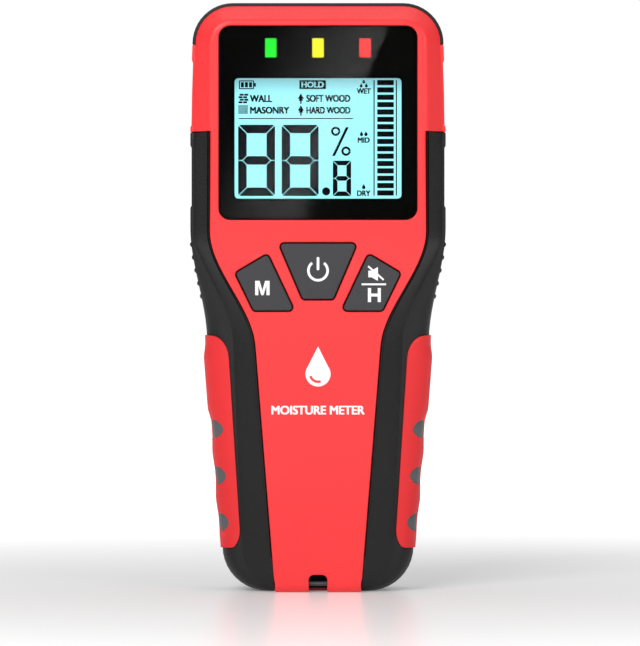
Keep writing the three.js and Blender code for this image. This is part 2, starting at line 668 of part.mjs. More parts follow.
function frontShell() {
  const walls = { flank: FLANK_WALL, plate: PLATE_WALL, end: END_WALL };
  const handle = box(-FAR, FAR, -FAR, FAR, -FAR, bayTop + BAY_WALL + 4);
  const cavity = caseForm({ ...walls, face: FACE_WALL }).add(
    caseForm({ ...walls, face: HANDLE_WALL }).intersect(handle),
  );
  let shell = outer.intersect(beforeParting).subtract(cavity).subtract(bayBlock(LOOSE_GAP));
  shell = shell.subtract(prism(boardOutline(LOOSE_GAP), BOARD_FRONT - LOOSE_GAP, PARTING));
  for (const side of [1, -1]) {
    shell = shell.subtract(gripZone(JOINT_GAP, side).subtract(skinSeat));
    const insertSeat = SEAT + INSERT_THICK + JOINT_GAP;
    const padSeat = caseForm({ flank: insertSeat, face: insertSeat, end: insertSeat });
    shell = shell.subtract(padZone(JOINT_GAP, side).subtract(padSeat));
  }
  shell = shell.subtract(bumperZone(JOINT_GAP).subtract(skinSeat));
  shell = shell.subtract(wingScoop);
  // Bosses for the case screws and posts for the board, trimmed to the case's inside.
  const inside = caseForm({ flank: FLANK_WALL - 1, face: FACE_WALL - 1, end: END_WALL - 1 });
  for (const [, x, z] of screwPlaces) {
    shell = shell.add(barY(x, z, BOSS_RADIUS, FRONT, frontShellRear).intersect(inside));
  }
  for (const [, x, z] of boardScrewPlaces) {
    shell = shell.add(
      barY(x, z, BOARD_POST_RADIUS, FRONT, BOARD_FRONT - CONTACT_GAP).intersect(inside),
    );
  }
  // Walls round the strap notch.
  shell = shell.add(
    prism(notchShape(1.5), notchFront, notchRear + 1.5).intersect(caseForm({ end: 0.4, face: 1 }, FINE)),
  );
  shell = shell.subtract(prism(notchShape(0), -FAR, notchRear));
  shell = shell.subtract(
    barX(strapBarDepth, strapBarHeight, STRAP_BAR_RADIUS + CONTACT_GAP,
      -NOTCH_WIDTH / 2 - 1, NOTCH_WIDTH / 2 + 1),
  );
  // Holes for the screws.
  for (const [, x, z] of screwPlaces)
    shell = shell.subtract(barY(x, z, SCREW_RADIUS + LOOSE_GAP, screwTip - HOLE_SPARE, FAR));
  for (const [, x, z] of boardScrewPlaces) {
    const end = BOARD_FRONT - BOARD_SCREW_BITE - HOLE_SPARE;
    shell = shell.subtract(barY(x, z, BOARD_SCREW_RADIUS + LOOSE_GAP, end, FAR));
  }
  // Seat and openings of the display window.
  const seat = roundedRect(
    WINDOW_WIDTH + 2 * JOINT_GAP, WINDOW_HEIGHT + 2 * JOINT_GAP,
    WINDOW_CORNER + JOINT_GAP, 0, windowMiddle,
  );
  shell = shell.subtract(prism(seat, -FAR, ledgeFront));
  shell = shell.subtract(
    prism(roundedRect(GLASS_WIDTH - 4, GLASS_HEIGHT - 3, 1, 0, glassMiddle), -FAR, ledgeRear + 1),
  );
  for (const x of [-LAMP_PITCH, 0, LAMP_PITCH]) {
    const hole = roundedRect(LAMP_WIDTH + 0.6, LAMP_HEIGHT + 0.6, 0.4, x, lampHeight);
    shell = shell.subtract(prism(hole, -FAR, ledgeRear + 1, 2));
  }
  shell = shell.subtract(frameBlock(FRAME_WALL + LOOSE_GAP, ledgeRear, PARTING));
  // Key holes, with room behind them for the keys' flanges.
  for (const key of keyDefinitions) {
    const hole = roundedPolygon(key.corners, KEY_CORNER, KEY_GAP);
    const room = roundedPolygon(key.corners, KEY_CORNER, KEY_FLANGE + LOOSE_GAP);
    shell = shell.subtract(prism(hole, -FAR, keyFlangeFront));
    shell = shell.subtract(prism(room, keyFlangeFront - CONTACT_GAP, PARTING));
  }
  return shell;
}

function sideGrip(side) {
  let grip = outer.subtract(skinInner).intersect(gripZone(0, side));
  grip = grip.subtract(padZone(JOINT_GAP, side)).subtract(gripScoop);
  for (let i = 0; i < RIB_COUNT; i += 1) {
    const z = headBottom - RIB_START - i * RIB_PITCH;
    const x = side * (flankHalf(z) - RIB_RADIUS + RIB_PROUD);
    grip = grip.add(barY(x, z, RIB_RADIUS, flankDepth(z), frontShellRear, 8));
  }
  return grip;
}

function gripPad(side) {
  const proud = caseForm({ flank: -PAD_PROUD, face: -PAD_PROUD }, FINE);
  return proud
    .subtract(skinInner)
    .intersect(padZone(0, side))
    .subtract(padWindows(0, side));
}

function padInsert(side) {
  const top = SEAT;
  const under = top + INSERT_THICK;
  const sheet = caseForm({ flank: top, face: top, end: top })
    .subtract(caseForm({ flank: under, face: under, end: under }))
    .intersect(padZone(-0.8, side));
  const bumps = caseForm({ flank: INSERT_SUNK, face: INSERT_SUNK }, FINE)
    .subtract(caseForm({ flank: top + 0.5, face: top + 0.5 }))
    .intersect(padWindows(-JOINT_GAP, side));
  let insert = sheet.add(bumps);
  for (const [, x, z] of screwPlaces)
    insert = insert.subtract(barY(x, z, SCREW_RADIUS + LOOSE_GAP, screwTip, FAR));
  return insert;
}

const topBumper = () => outer.subtract(skinInner).intersect(bumperZone(0));

// ---------------------------------------------------------------- rear shell
// The outside of the battery bay, which the rear shell carries.
function bayBlock(grow) {
  return box(-bayOuterHalf - grow, bayOuterHalf + grow, bayFront - BAY_WALL - grow, REAR - 1,
    BAY_FLOOR - grow, bayTop + BAY_WALL + grow);
}

function rearShell() {
  const cavity = caseForm({ flank: 2.2, face: 2, rear: REAR_WALL, end: 2.2 });
  let shell = outer.intersect(behindParting).subtract(cavity);
  // The battery bay reaches forward between the front shell's walls.
  shell = shell.add(bayBlock(0));
  // A ledge behind the door's upper edge.
  shell = shell.add(
    box(-doorHalf - LEDGE_MARGIN, doorHalf + LEDGE_MARGIN, doorInner - LEDGE_DEPTH, REAR - 0.5,
      bayTop, doorTop + LEDGE_MARGIN),
  );
  const inside = caseForm({ flank: 1, rear: 1, end: 1 });
  for (const [, x, z] of screwPlaces)
    shell = shell.add(
      barY(x, z, BOSS_RADIUS + 0.4, rearShellFront, REAR).intersect(inside),
    );
  // Blocks round the door's pivots.
  const halfDoor = doorHalf + DOOR_GAP;
  for (const side of [-1, 1]) {
    const [x0, x1] = [side * halfDoor, side * (halfDoor + PIVOT_LENGTH + 1)].sort((a, b) => a - b);
    const block = box(x0, x1, REAR - 3.4, REAR, pivotHeight - 1.6, pivotHeight + 1.6);
    shell = shell.add(block.intersect(outer));
  }
  shell = shell.subtract(
    box(-bayInnerHalf, bayInnerHalf, bayFront, FAR, BAY_FLOOR + BAY_WALL, bayTop),
  );
  const opening = box(-halfDoor, halfDoor, doorInner - DOOR_GAP, FAR,
    pivotHeight - DOOR_THICK / 2 - DOOR_GAP, doorTop + DOOR_GAP);
  shell = shell.subtract(opening);
  // Room for the latch's tip as it is pressed in.
  shell = shell.subtract(
    box(-LATCH_WIDTH / 2 - 1, LATCH_WIDTH / 2 + 1, doorInner - 1.4, FAR, bayTop - 3, doorTop),
  );
  const socketRadius = PIVOT_RADIUS + PIVOT_GAP;
  const socketReach = halfDoor + PIVOT_LENGTH;
  shell = shell.subtract(barX(pivotDepth, pivotHeight, socketRadius, -socketReach, socketReach));
  // Holes that carry the battery contacts to the board.
  for (const x of [-TERMINAL_PITCH / 2, TERMINAL_PITCH / 2])
    shell = shell.subtract(barZ(x, batteryMiddle, 0.8 + LOOSE_GAP, bayTop - 1, bayTop + 3));
  for (const [, x, z] of screwPlaces) {
    shell = shell.subtract(barY(x, z, SCREW_RADIUS + LOOSE_GAP, PARTING - 1, FAR));
    shell = shell.subtract(barY(x, z, SCREW_HEAD_RADIUS + LOOSE_GAP, screwSeat, FAR));
  }
  // Pocket of the sensing pad, and the pegs of the sensor board behind it.
  const pocket = roundedRect(SENSOR_PAD_WIDTH + 2 * JOINT_GAP, SENSOR_PAD_HEIGHT + 2 * JOINT_GAP,
    SENSOR_PAD_CORNER + JOINT_GAP, 0, sensorMiddle);
  shell = shell.subtract(prism(pocket, REAR - SENSOR_PAD_SUNK, FAR));
  for (const [x, z] of sensorPegs()) {
    shell = shell.add(barY(x, z, 1.8, sensorBoardRear + CONTACT_GAP, rearInner + 0.5, 12));
    shell = shell.add(barY(x, z, 0.9, sensorBoardFront - 0.8, rearInner + 0.5, 12));
  }
  // Sound holes over the buzzer: one in the middle and a ring round it.
  shell = shell.subtract(barY(0, buzzerHeight, 0.6, 0, FAR, 8));
  for (let i = 0; i < 6; i += 1) {
    const turn = (i * Math.PI) / 3;
    const [x, z] = [2.6 * Math.cos(turn), buzzerHeight + 2.6 * Math.sin(turn)];
    shell = shell.subtract(barY(x, z, 0.6, 0, FAR, 8));
  }
  return shell;
}

const buzzerHeight = headBottom - 12;

function sensorPegs() {
  const [x, z] = [SENSOR_BOARD_WIDTH / 2 - 2.4, SENSOR_BOARD_HEIGHT / 2 - 2.4];
  return [[-x, -z], [x, -z], [x, z], [-x, z]].map(([px, pz]) => [px, sensorMiddle + pz]);
}

// ---------------------------------------------------------------- display stack
const displayWindow = () =>
  prism(roundedRect(WINDOW_WIDTH, WINDOW_HEIGHT, WINDOW_CORNER, 0, windowMiddle),
    windowFront, windowRear);

function windowTape() {
  const ring = roundedRect(WINDOW_WIDTH - 0.6, WINDOW_HEIGHT - 0.6, WINDOW_CORNER, 0, windowMiddle);
  const [front, rear] = [windowRear + CONTACT_GAP, windowRear + CONTACT_GAP + TAPE_THICK];
  const open = roundedRect(WINDOW_WIDTH - 0.6 - 2 * TAPE_WIDTH, WINDOW_HEIGHT - 0.6 - 2 * TAPE_WIDTH,
    1.5, 0, windowMiddle);
  return prism(ring, front, rear).subtract(prism(open, front - 1, rear + 1));
}

const glassPanel = (width, height, y0, y1, z) =>
  box(-width / 2, width / 2, y0, y1, z - height / 2, z + height / 2);

const lcdPanel = () => glassPanel(GLASS_WIDTH, GLASS_HEIGHT, glassFront, glassRear, glassMiddle);

const backlightFoot = glassMiddle - GLASS_HEIGHT / 2 + ZEBRA_HEIGHT + 2 * LOOSE_GAP;

const lcdBacklight = () =>
  box(-GLASS_WIDTH / 2, GLASS_WIDTH / 2, glassRear + CONTACT_GAP,
    glassRear + CONTACT_GAP + BACKLIGHT_THICK, backlightFoot, glassMiddle + GLASS_HEIGHT / 2);

const zebraStrip = () =>
  box(-GLASS_WIDTH / 2 + 2, GLASS_WIDTH / 2 - 2, glassRear + CONTACT_GAP, frameRear,
    backlightFoot - LOOSE_GAP - ZEBRA_HEIGHT, backlightFoot - LOOSE_GAP);

// A block round the glass, as large as the frame's opening or its outside, and grown.
function frameBlock(margin, y0, y1) {
  const grow = 2 * (LOOSE_GAP + margin);
  return glassPanel(GLASS_WIDTH + grow, GLASS_HEIGHT + grow, y0, y1, glassMiddle);
}

const lcdFrame = () =>
  frameBlock(FRAME_WALL, glassFront, frameRear).subtract(frameBlock(0, -FAR, FAR));

const lampPlaces = [
  ["green", -LAMP_PITCH],
  ["yellow", 0],
  ["red", LAMP_PITCH],
];

const lightPipe = (x) =>
  prism(roundedRect(LAMP_WIDTH, LAMP_HEIGHT, 0.3, x, lampHeight),
    windowRear + CONTACT_GAP, ledFront - LOOSE_GAP, 2);

const led = (x) =>
  box(x - LED_WIDTH / 2, x + LED_WIDTH / 2, ledFront, BOARD_FRONT - CONTACT_GAP,
    lampHeight - LED_HEIGHT / 2, lampHeight + LED_HEIGHT / 2);

function lightShield() {
  const [front, rear] = [ledgeRear + CONTACT_GAP, ledFront - 0.6];
  const half = LAMP_PITCH + SHIELD_MARGIN;
  const [low, high] = [lampHeight - SHIELD_HEIGHT / 2, lampHeight + SHIELD_HEIGHT / 2];
  let shield = box(-half, half, front, rear, low, high);
  for (const [, x] of lampPlaces) {
    const [w, h] = [LAMP_WIDTH / 2 + JOINT_GAP, LAMP_HEIGHT / 2 + JOINT_GAP];
    shield = shield.subtract(box(x - w, x + w, -FAR, FAR, lampHeight - h, lampHeight + h));
  }
  for (const [, x, z] of boardScrewPlaces.slice(0, 2))
    shield = shield.subtract(barY(x, z, BOARD_POST_RADIUS + LOOSE_GAP, -FAR, FAR));
  return shield;
}

// ---------------------------------------------------------------- boards and what they carry
function boardOutline(grow) {
  const [wide, neck] = [BOARD_HALF_WIDTH, BOARD_NECK_HALF_WIDTH];
  const cornerHeight = upperScrewHeight - BOSS_RADIUS - 1.2; // clear of the upper bosses
  const cornerHalf = UPPER_SCREW_OUT - BOSS_RADIUS - 0.8;
  const right = [
    [neck, boardBottom],
    [neck, Math.max(waistBottom + BOARD_FLARE_START, boardBottom + 1)],
    [wide, headBottom - BOARD_FLARE_END],
    [wide, cornerHeight],
    [cornerHalf, cornerHeight],
    [cornerHalf, boardTop],
  ];
  const left = right.map(([x, z]) => [-x, z]).reverse();
  const points = [...right, ...left].map(([x, z]) => {
    const end = z < CASE_HEIGHT / 2 ? -grow : grow;
    return new THREE.Vector2(x + Math.sign(x) * grow, z + end);
  });
  return new THREE.Shape(points);
}

function mainBoard() {
  let board = prism(boardOutline(0), BOARD_FRONT, boardRear);
  for (const [, x, z] of boardScrewPlaces)
    board = board.subtract(barY(x, z, BOARD_SCREW_RADIUS + LOOSE_GAP, -FAR, FAR));
  return board;
}

const controllerChip = () =>
  box(-19, -11, boardRear + CONTACT_GAP, boardRear + 1.6, headBottom + 8, headBottom + 16);

function buzzer() {
  const [front, rear] = [boardRear + CONTACT_GAP, boardRear + CONTACT_GAP + BUZZER_HEIGHT];
  const can = barY(0, buzzerHeight, BUZZER_RADIUS, front, rear, 28);
  return can.subtract(barY(0, buzzerHeight, 1.1, rear - 1.5, rear + 1, 12));
}

function sensorBoard() {
  let board = prism(roundedRect(SENSOR_BOARD_WIDTH, SENSOR_BOARD_HEIGHT, 1.5, 0, sensorMiddle),
    sensorBoardFront, sensorBoardRear, 3);
  for (const [x, z] of sensorPegs())
    board = board.subtract(barY(x, z, 0.9 + LOOSE_GAP, -FAR, FAR, 12));
  return board;
}

const sensorElectrode = () =>
  prism(roundedRect(SENSOR_BOARD_WIDTH - 11, SENSOR_BOARD_HEIGHT - 4, 4, 0, sensorMiddle),
    electrodeFront, electrodeRear);

const boardLink = () =>
  box(-6.4, 6.4, boardRear + CONTACT_GAP, sensorBoardFront - CONTACT_GAP,
    sensorMiddle - 14, sensorMiddle - 11.4);

const sensorPad = () =>
  prism(roundedRect(SENSOR_PAD_WIDTH, SENSOR_PAD_HEIGHT, SENSOR_PAD_CORNER, 0, sensorMiddle),
    REAR - SENSOR_PAD_SUNK + CONTACT_GAP, REAR + SENSOR_PAD_PROUD, 6);

// ---------------------------------------------------------------- battery and contacts
const batteryCase = () =>
  box(-BATTERY_WIDTH / 2, BATTERY_WIDTH / 2, batteryFront, batteryRear, batteryFoot, batteryTop);

// A ring or a stud turned about the vertical axis through a battery terminal.
function turned(profile, x, sides) {
  const points = profile.map(([radius, z]) => new THREE.Vector2(radius, z));
  const geometry = new THREE.LatheGeometry([...points, points[0].clone()], sides);
  return solidOf(geometry.rotateX(Math.PI / 2).translate(x, batteryMiddle, 0));
}

const terminalFoot = batteryTop + CONTACT_GAP;
const terminalTop = terminalFoot + TERMINAL_HEIGHT;

const batteryPlus = () =>
  turned([[0, terminalFoot], [2.9, terminalFoot], [2.5, terminalTop - 0.8], [2.8, terminalTop - 0.3],
    [2.4, terminalTop], [0, terminalTop]], TERMINAL_PITCH / 2, 20);

const batteryMinus = () =>
  turned([[3.3, terminalFoot], [4.3, terminalFoot], [4.6, terminalTop], [3.4, terminalTop]],
    -TERMINAL_PITCH / 2, 6);

function contact(x, head) {
  const barTop = bayTop + BAY_WALL + 2.4;
  const stem = barZ(x, batteryMiddle, 0.8, terminalTop + 0.4, barTop - 0.4, 12);
  const arm = box(x - 0.8, x + 0.8, boardRear + CONTACT_GAP, batteryMiddle + 0.8,
    barTop - 1.2, barTop);
  return join(head, stem, arm);
}

const contactPlus = () => {
  const clipFoot = terminalFoot + 0.8;
  return contact(TERMINAL_PITCH / 2,
    turned([[3.3, clipFoot], [4.2, clipFoot], [4.2, terminalTop + 1], [0, terminalTop + 1],
      [0, terminalTop + 0.3], [3.3, terminalTop + 0.3]], TERMINAL_PITCH / 2, 20));
};

const contactMinus = () => {
  const x = -TERMINAL_PITCH / 2;
  return contact(x, turned([[0, terminalFoot + 0.4], [2.3, terminalFoot + 0.4],
    [2.3, terminalTop + 0.3], [4.2, terminalTop + 0.3], [4.2, terminalTop + 1],
    [0, terminalTop + 1]], x, 20));
};

function contactBlock() {
  const foot = terminalTop + 1 + LOOSE_GAP;
  let block = box(-bayInnerHalf + LOOSE_GAP, bayInnerHalf - LOOSE_GAP, bayFront + LOOSE_GAP,
    batteryRear - 2, foot, bayTop - CONTACT_GAP);
  for (const x of [-TERMINAL_PITCH / 2, TERMINAL_PITCH / 2])
    block = block.subtract(barZ(x, batteryMiddle, 0.8 + LOOSE_GAP, foot - 1, bayTop + 1, 12));
  return block;
}

// ---------------------------------------------------------------- battery door
function batteryDoor() {
  const half = doorHalf;
  const radius = DOOR_THICK / 2;
  const barrel = barX(pivotDepth, pivotHeight, radius, -half, half, 24);
  const panel = box(-half, half, doorInner, REAR, pivotHeight, doorTop);
  const pivots = barX(pivotDepth, pivotHeight, PIVOT_RADIUS, -half - PIVOT_LENGTH + LOOSE_GAP,
    half + PIVOT_LENGTH - LOOSE_GAP);
  const slot = box(-LATCH_WIDTH / 2 - LOOSE_GAP, LATCH_WIDTH / 2 + LOOSE_GAP, -FAR, FAR,
    doorTop - LATCH_LENGTH - 2 * LOOSE_GAP, FAR);
  return join(barrel, panel, pivots).subtract(slot);
}

// The latch's tongue, with two thumb ridges on its outside.
const latchRoot = doorTop - LATCH_LENGTH - LOOSE_GAP;

function doorLatch() {
  const half = LATCH_WIDTH / 2;
  let tongue = box(-half, half, REAR - LATCH_THICK, REAR, latchRoot, doorTop - 0.1);
  for (const lift of [5.4, 7.6])
    tongue = tongue.add(barX(REAR, latchRoot + lift, 0.5, -half + 1.5, half - 1.5, 10));
  return tongue;
}

const batteryFoam = () =>
  box(-9, 9, batteryRear + 0.3, doorInner - CONTACT_GAP, batteryFoot + 6, batteryTop - 8);

// ---------------------------------------------------------------- fasteners and the strap bar
// A pan-head screw whose head faces +Y, with a cross recess.
function screw(x, z, seat, headRadius, headHeight, shankRadius, tip) {
  const head = barY(x, z, headRadius, seat, seat + headHeight, 14);
  const shank = barY(x, z, shankRadius, tip, seat + 0.2, 8);
  const [arm, slit, deep] = [headRadius * 0.55, headRadius * 0.13, headHeight * 0.5];
  const [y0, y1] = [seat + headHeight - deep, seat + headHeight + 1];
  const cross = box(x - arm, x + arm, y0, y1, z - slit, z + slit).add(
    box(x - slit, x + slit, y0, y1, z - arm, z + arm),
  );
  return join(head, shank).subtract(cross);
}

const caseScrew = (x, z) =>
  screw(x, z, screwSeat + CONTACT_GAP, SCREW_HEAD_RADIUS, SCREW_HEAD_HEIGHT, SCREW_RADIUS, screwTip);

const boardScrew = (x, z) =>
  screw(x, z, boardRear + CONTACT_GAP, BOARD_SCREW_HEAD_RADIUS, 1.3, BOARD_SCREW_RADIUS,
    BOARD_FRONT - BOARD_SCREW_BITE);

const strapBar = () =>
  barX(strapBarDepth, strapBarHeight, STRAP_BAR_RADIUS, -NOTCH_WIDTH / 2 - 0.9,
    NOTCH_WIDTH / 2 + 0.9);

// ---------------------------------------------------------------- materials
const paint = (color, roughness, metalness = 0) =>
  new THREE.MeshStandardMaterial({ color, roughness, metalness });
const redShell = paint(0xf23b40, 0.42);
const darkShell = paint(0x2c2d2f, 0.55);
const softDark = paint(0x353637, 0.75);
const softRed = paint(0xee383d, 0.6);
const softGrey = paint(0x666a69, 0.8);
const keyRubber = paint(0x3b3c3d, 0.7);
const blackGloss = paint(0x050505, 0.08);
const blackPlastic = paint(0x161616, 0.5);
const whitePlastic = paint(0xe8e8e2, 0.5);
const lcdGlass = paint(0x9fe9f4, 0.2);
const boardGreen = paint(0x155c34, 0.5);
const copper = paint(0xb87333, 0.35, 1);
const steel = paint(0xb9bbbd, 0.3, 1);
const brass = paint(0xc9a24a, 0.3, 1);
const foam = paint(0x202020, 0.95);
const batteryJacket = paint(0x38424d, 0.35, 0.3);
const lampColours = {
  green: paint(0x00f000, 0.3),
  yellow: paint(0xffff00, 0.3),
  red: paint(0xff1e1e, 0.3),
};

// ---------------------------------------------------------------- assembly
const meter = new THREE.Group();

function place(name, solid, material, group = meter) {
  const mesh = new THREE.Mesh(geometryOf(solid), material);
  mesh.name = name;
  group.add(mesh);
  return mesh;
}

place("front_shell", frontShell(), redShell);
place("rear_shell", rearShell(), darkShell);
place("top_bumper", topBumper(), softDark);
for (const [word, side] of [["left", -1], ["right", 1]]) {
  place(`side_grip_${word}`, sideGrip(side), softDark);
  place(`grip_pad_${word}`, gripPad(side), softRed);
  place(`pad_insert_${word}`, padInsert(side), softGrey);
}
place("display_window", displayWindow(), blackGloss);
place("window_tape", windowTape(), foam);
place("lcd_panel", lcdPanel(), lcdGlass);
place("lcd_backlight", lcdBacklight(), whitePlastic);
place("lcd_frame", lcdFrame(), whitePlastic);
place("zebra_strip", zebraStrip(), softGrey);
place("light_shield", lightShield(), blackPlastic);
for (const [colour, x] of lampPlaces) {
  place(`light_pipe_${colour}`, lightPipe(x), lampColours[colour]);
  place(`led_${colour}`, led(x), whitePlastic);
}
for (const key of keyDefinitions) {
  place(`${key.name}_key`, keyCap(key), keyRubber);
  place(`${key.name}_plunger`, keyPlunger(key), whitePlastic);
  place(`${key.name}_switch`, keySwitch(key), steel);
}
place("main_board", mainBoard(), boardGreen);
place("controller_chip", controllerChip(), blackPlastic);
place("buzzer", buzzer(), blackPlastic);
place("sensor_board", sensorBoard(), boardGreen);
place("sensor_electrode", sensorElectrode(), copper);
place("board_link", boardLink(), blackPlastic);
place("sensor_pad", sensorPad(), blackPlastic);
place("battery_case", batteryCase(), batteryJacket);
place("battery_plus", batteryPlus(), steel);
place("battery_minus", batteryMinus(), steel);
place("contact_block", contactBlock(), blackPlastic);
place("contact_plus", contactPlus(), brass);
place("contact_minus", contactMinus(), brass);
place("battery_door", batteryDoor(), darkShell);
place("door_latch", doorLatch(), darkShell);
place("battery_foam", batteryFoam(), foam);
for (const [name, x, z] of screwPlaces) place(name, caseScrew(x, z), steel);
for (const [name, x, z] of boardScrewPlaces) place(name, boardScrew(x, z), steel);
place("strap_bar", strapBar(), steel);

export default meter;
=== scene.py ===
import math

import bmesh
import bpy
from mathutils import Matrix, Vector
from mathutils.bvhtree import BVHTree


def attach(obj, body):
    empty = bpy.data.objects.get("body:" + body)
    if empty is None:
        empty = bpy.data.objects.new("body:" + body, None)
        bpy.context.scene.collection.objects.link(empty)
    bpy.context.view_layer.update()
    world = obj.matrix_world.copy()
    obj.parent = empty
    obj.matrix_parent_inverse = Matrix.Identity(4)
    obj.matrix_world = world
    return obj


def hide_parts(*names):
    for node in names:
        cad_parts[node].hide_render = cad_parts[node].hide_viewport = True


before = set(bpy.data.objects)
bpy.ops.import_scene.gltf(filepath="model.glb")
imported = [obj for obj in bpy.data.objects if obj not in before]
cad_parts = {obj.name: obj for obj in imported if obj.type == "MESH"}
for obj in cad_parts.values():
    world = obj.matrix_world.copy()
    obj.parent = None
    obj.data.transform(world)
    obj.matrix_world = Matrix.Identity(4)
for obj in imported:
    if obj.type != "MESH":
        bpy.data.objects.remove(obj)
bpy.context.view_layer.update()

bl_info = {
    "name": "Moisture Meter",
    "version": (1, 0, 0),
    "blender": (4, 5, 0),
    "location": "View3D > Sidebar > Meter",
    "description": "Builds a hand-held moisture meter round its mechanical frame",
    "category": "Add Mesh",
}

# Lengths in the modelling code are millimetres; a finished mesh is scaled to metres.
MM = 0.001

# ---------------------------------------------------------------- the case's form
CASE_HEIGHT = 160.0
TOP_CORNER, FOOT_CORNER = 11.0, 12.0
FRONT, REAR = -16.0, 15.0
FRONT_SHELL_REAR, REAR_SHELL_FRONT = 2.875, 3.125
HANDLE_FACE = -13.5
WING_TOP, WING_BOTTOM = 148.8, 124.9
REAR_ROUND = 4.0
JOINT = 0.12  # half the gap between neighbouring mouldings
FOOT_FILLET = 2.5
FAN_HEIGHT = 140.0  # the head's face is drawn in a fan round this height
# How far the face's edge and the bevel's foot stay inside the outline, at the top and at the foot.
FACE_INSETS, BEVEL_INSETS = (5.0, 3.0), (0.9, 0.3)
# The finger scoop: its depth, and the heights where it starts, is full, fades and ends.
SCOOP = 0.4
WING_SCOOP, GRIP_SCOOP = (126.1, 127.2, 143.4, 144.6), (104.2, 105.2, 120.4, 121.4)
RIM_WALL, GRIP_WALL, PAD_WALL, WINDOW_RUBBER_WALL, REAR_WALL = 1.4, 0.5, 1.1, 0.5, 2.0
WELD = 1e-4  # points closer than this are one
SEAM = 1e-3  # the same where halves meet and on the frame's own meshes


def mix(start, end, share):
    return start + (end - start) * share


def ease(value, start, end):
    share = min(max((value - start) / (end - start), 0.0), 1.0)
    return share * share * (3.0 - 2.0 * share)


def flank_half(z):
    handle = min(mix(26.1, 30.3, (z - 12.0) / 55.0), 30.3)
    return mix(handle, 34.7 - 0.8 * ease(z, 128.0, 160.0), ease(z, 68.0, 99.0))


def bevel_half(z):
    handle = min(mix(20.2, 23.2, z / 67.0), 23.2)
    return min(mix(handle, 34.7, ease(z, 68.0, 102.0)), flank_half(z) - 0.9)


def face_half(z):
    return mix(min(mix(11.8, 17.1, z / 67.0), 17.1), 29.4, ease(z, 66.0, 98.0))


def face_depth(z):
    return FRONT + 2.5 * (1.0 - ease(z, 66.0, 99.0))


def bevel_depth(z):
    return face_depth(z) + mix(4.5, 6.0, ease(z, 66.0, 99.0))


def flank_depth(z):
    return bevel_depth(z) + mix(6.0, 0.45, ease(z, 66.0, 99.0))


def scoop_depth(z, start, full, fade, end):
    return SCOOP * (ease(z, start, full) - ease(z, fade, end))


def along(z):
    """Where a height on the flank lies on an outline."""
    return 2.0 + (z - FOOT_CORNER) / (CASE_HEIGHT - TOP_CORNER - FOOT_CORNER)


def outline_point(s, half, depth, top_inset, foot_inset):
    """A point of an outline: s is 0 to 1 on the foot, to 2 round its corner, to 3 up the flank,
    to 4 round the top corner and to 5 at the middle of the top."""
    foot, top = FOOT_CORNER, CASE_HEIGHT - TOP_CORNER
    foot_radius, top_radius = FOOT_CORNER - foot_inset, TOP_CORNER - top_inset
    if s <= 1.0:
        x, z = (half(foot) - foot_radius) * s, foot_inset
    elif s <= 2.0:
        turn = (s - 2.0) * math.pi / 2
        x, z = half(foot) - foot_radius * (1 - math.cos(turn)), foot + foot_radius * math.sin(turn)
    elif s <= 3.0:
        z = mix(foot, top, s - 2.0)
        x = half(z)
    elif s <= 4.0:
        turn = (s - 3.0) * math.pi / 2
        x, z = half(top) - top_radius * (1 - math.cos(turn)), top + top_radius * math.sin(turn)
    else:
        x, z = (half(top) - top_radius) * (5.0 - s), CASE_HEIGHT - top_inset
    return Vector((x, depth(z), z))


def front_point(s, t, lift=0.0):
    """A point of the front: t is 0 at the face's edge, 1 at the bevel's foot, 2 where the flank
    begins and 3 at the parting plane. Lift moves it out of the surface."""
    if lift:
        across = front_point(s, t + 0.01) - front_point(s, t - 0.01)
        upward = front_point(s + 0.002, t) - front_point(s - 0.002, t)
        return front_point(s, t) + lift * across.cross(upward).normalized()
    if t <= 1.0:
        return outline_point(
            s, lambda z: mix(face_half(z), bevel_half(z), t),
            lambda z: mix(face_depth(z), bevel_depth(z), t), *map(mix, FACE_INSETS, BEVEL_INSETS, (t, t)))
    if t <= 2.0:
        turn = (t - 1.0) * math.pi / 2
        out, back = math.sin(turn), 1.0 - math.cos(turn)
        return outline_point(
            s, lambda z: mix(bevel_half(z), flank_half(z), out),
            lambda z: mix(bevel_depth(z), flank_depth(z), back),
            *(inset * (1.0 - out) for inset in BEVEL_INSETS))
    return outline_point(
        s, flank_half, lambda z: mix(flank_depth(z), FRONT_SHELL_REAR, t - 2.0), 0.0, 0.0)


def rear_point(s, t):
    """A point of the rear: t is 0 at the parting plane, 1 where the edge starts to round, 2 on the back."""
    if t <= 1.0:
        return outline_point(s, flank_half, lambda z: mix(REAR_SHELL_FRONT, REAR - REAR_ROUND, t), 0.0, 0.0)
    turn = (t - 1.0) * math.pi / 2
    inward = REAR_ROUND * (1.0 - math.cos(turn))
    return outline_point(
        s, lambda z: flank_half(z) - inward,
        lambda z: REAR - REAR_ROUND * (1.0 - math.sin(turn)), inward, inward)


def flank_across(y, z):
    """The t of a depth on the shoulder or flank."""
    if y >= flank_depth(z):
        return 2.0 + (y - flank_depth(z)) / (FRONT_SHELL_REAR - flank_depth(z))
    share = (y - bevel_depth(z)) / (flank_depth(z) - bevel_depth(z))
    return 1.0 + math.acos(1.0 - max(share, 0.0)) / (math.pi / 2)


def steps(start, end, count):
    return [mix(start, end, i / count) for i in range(count + 1)]


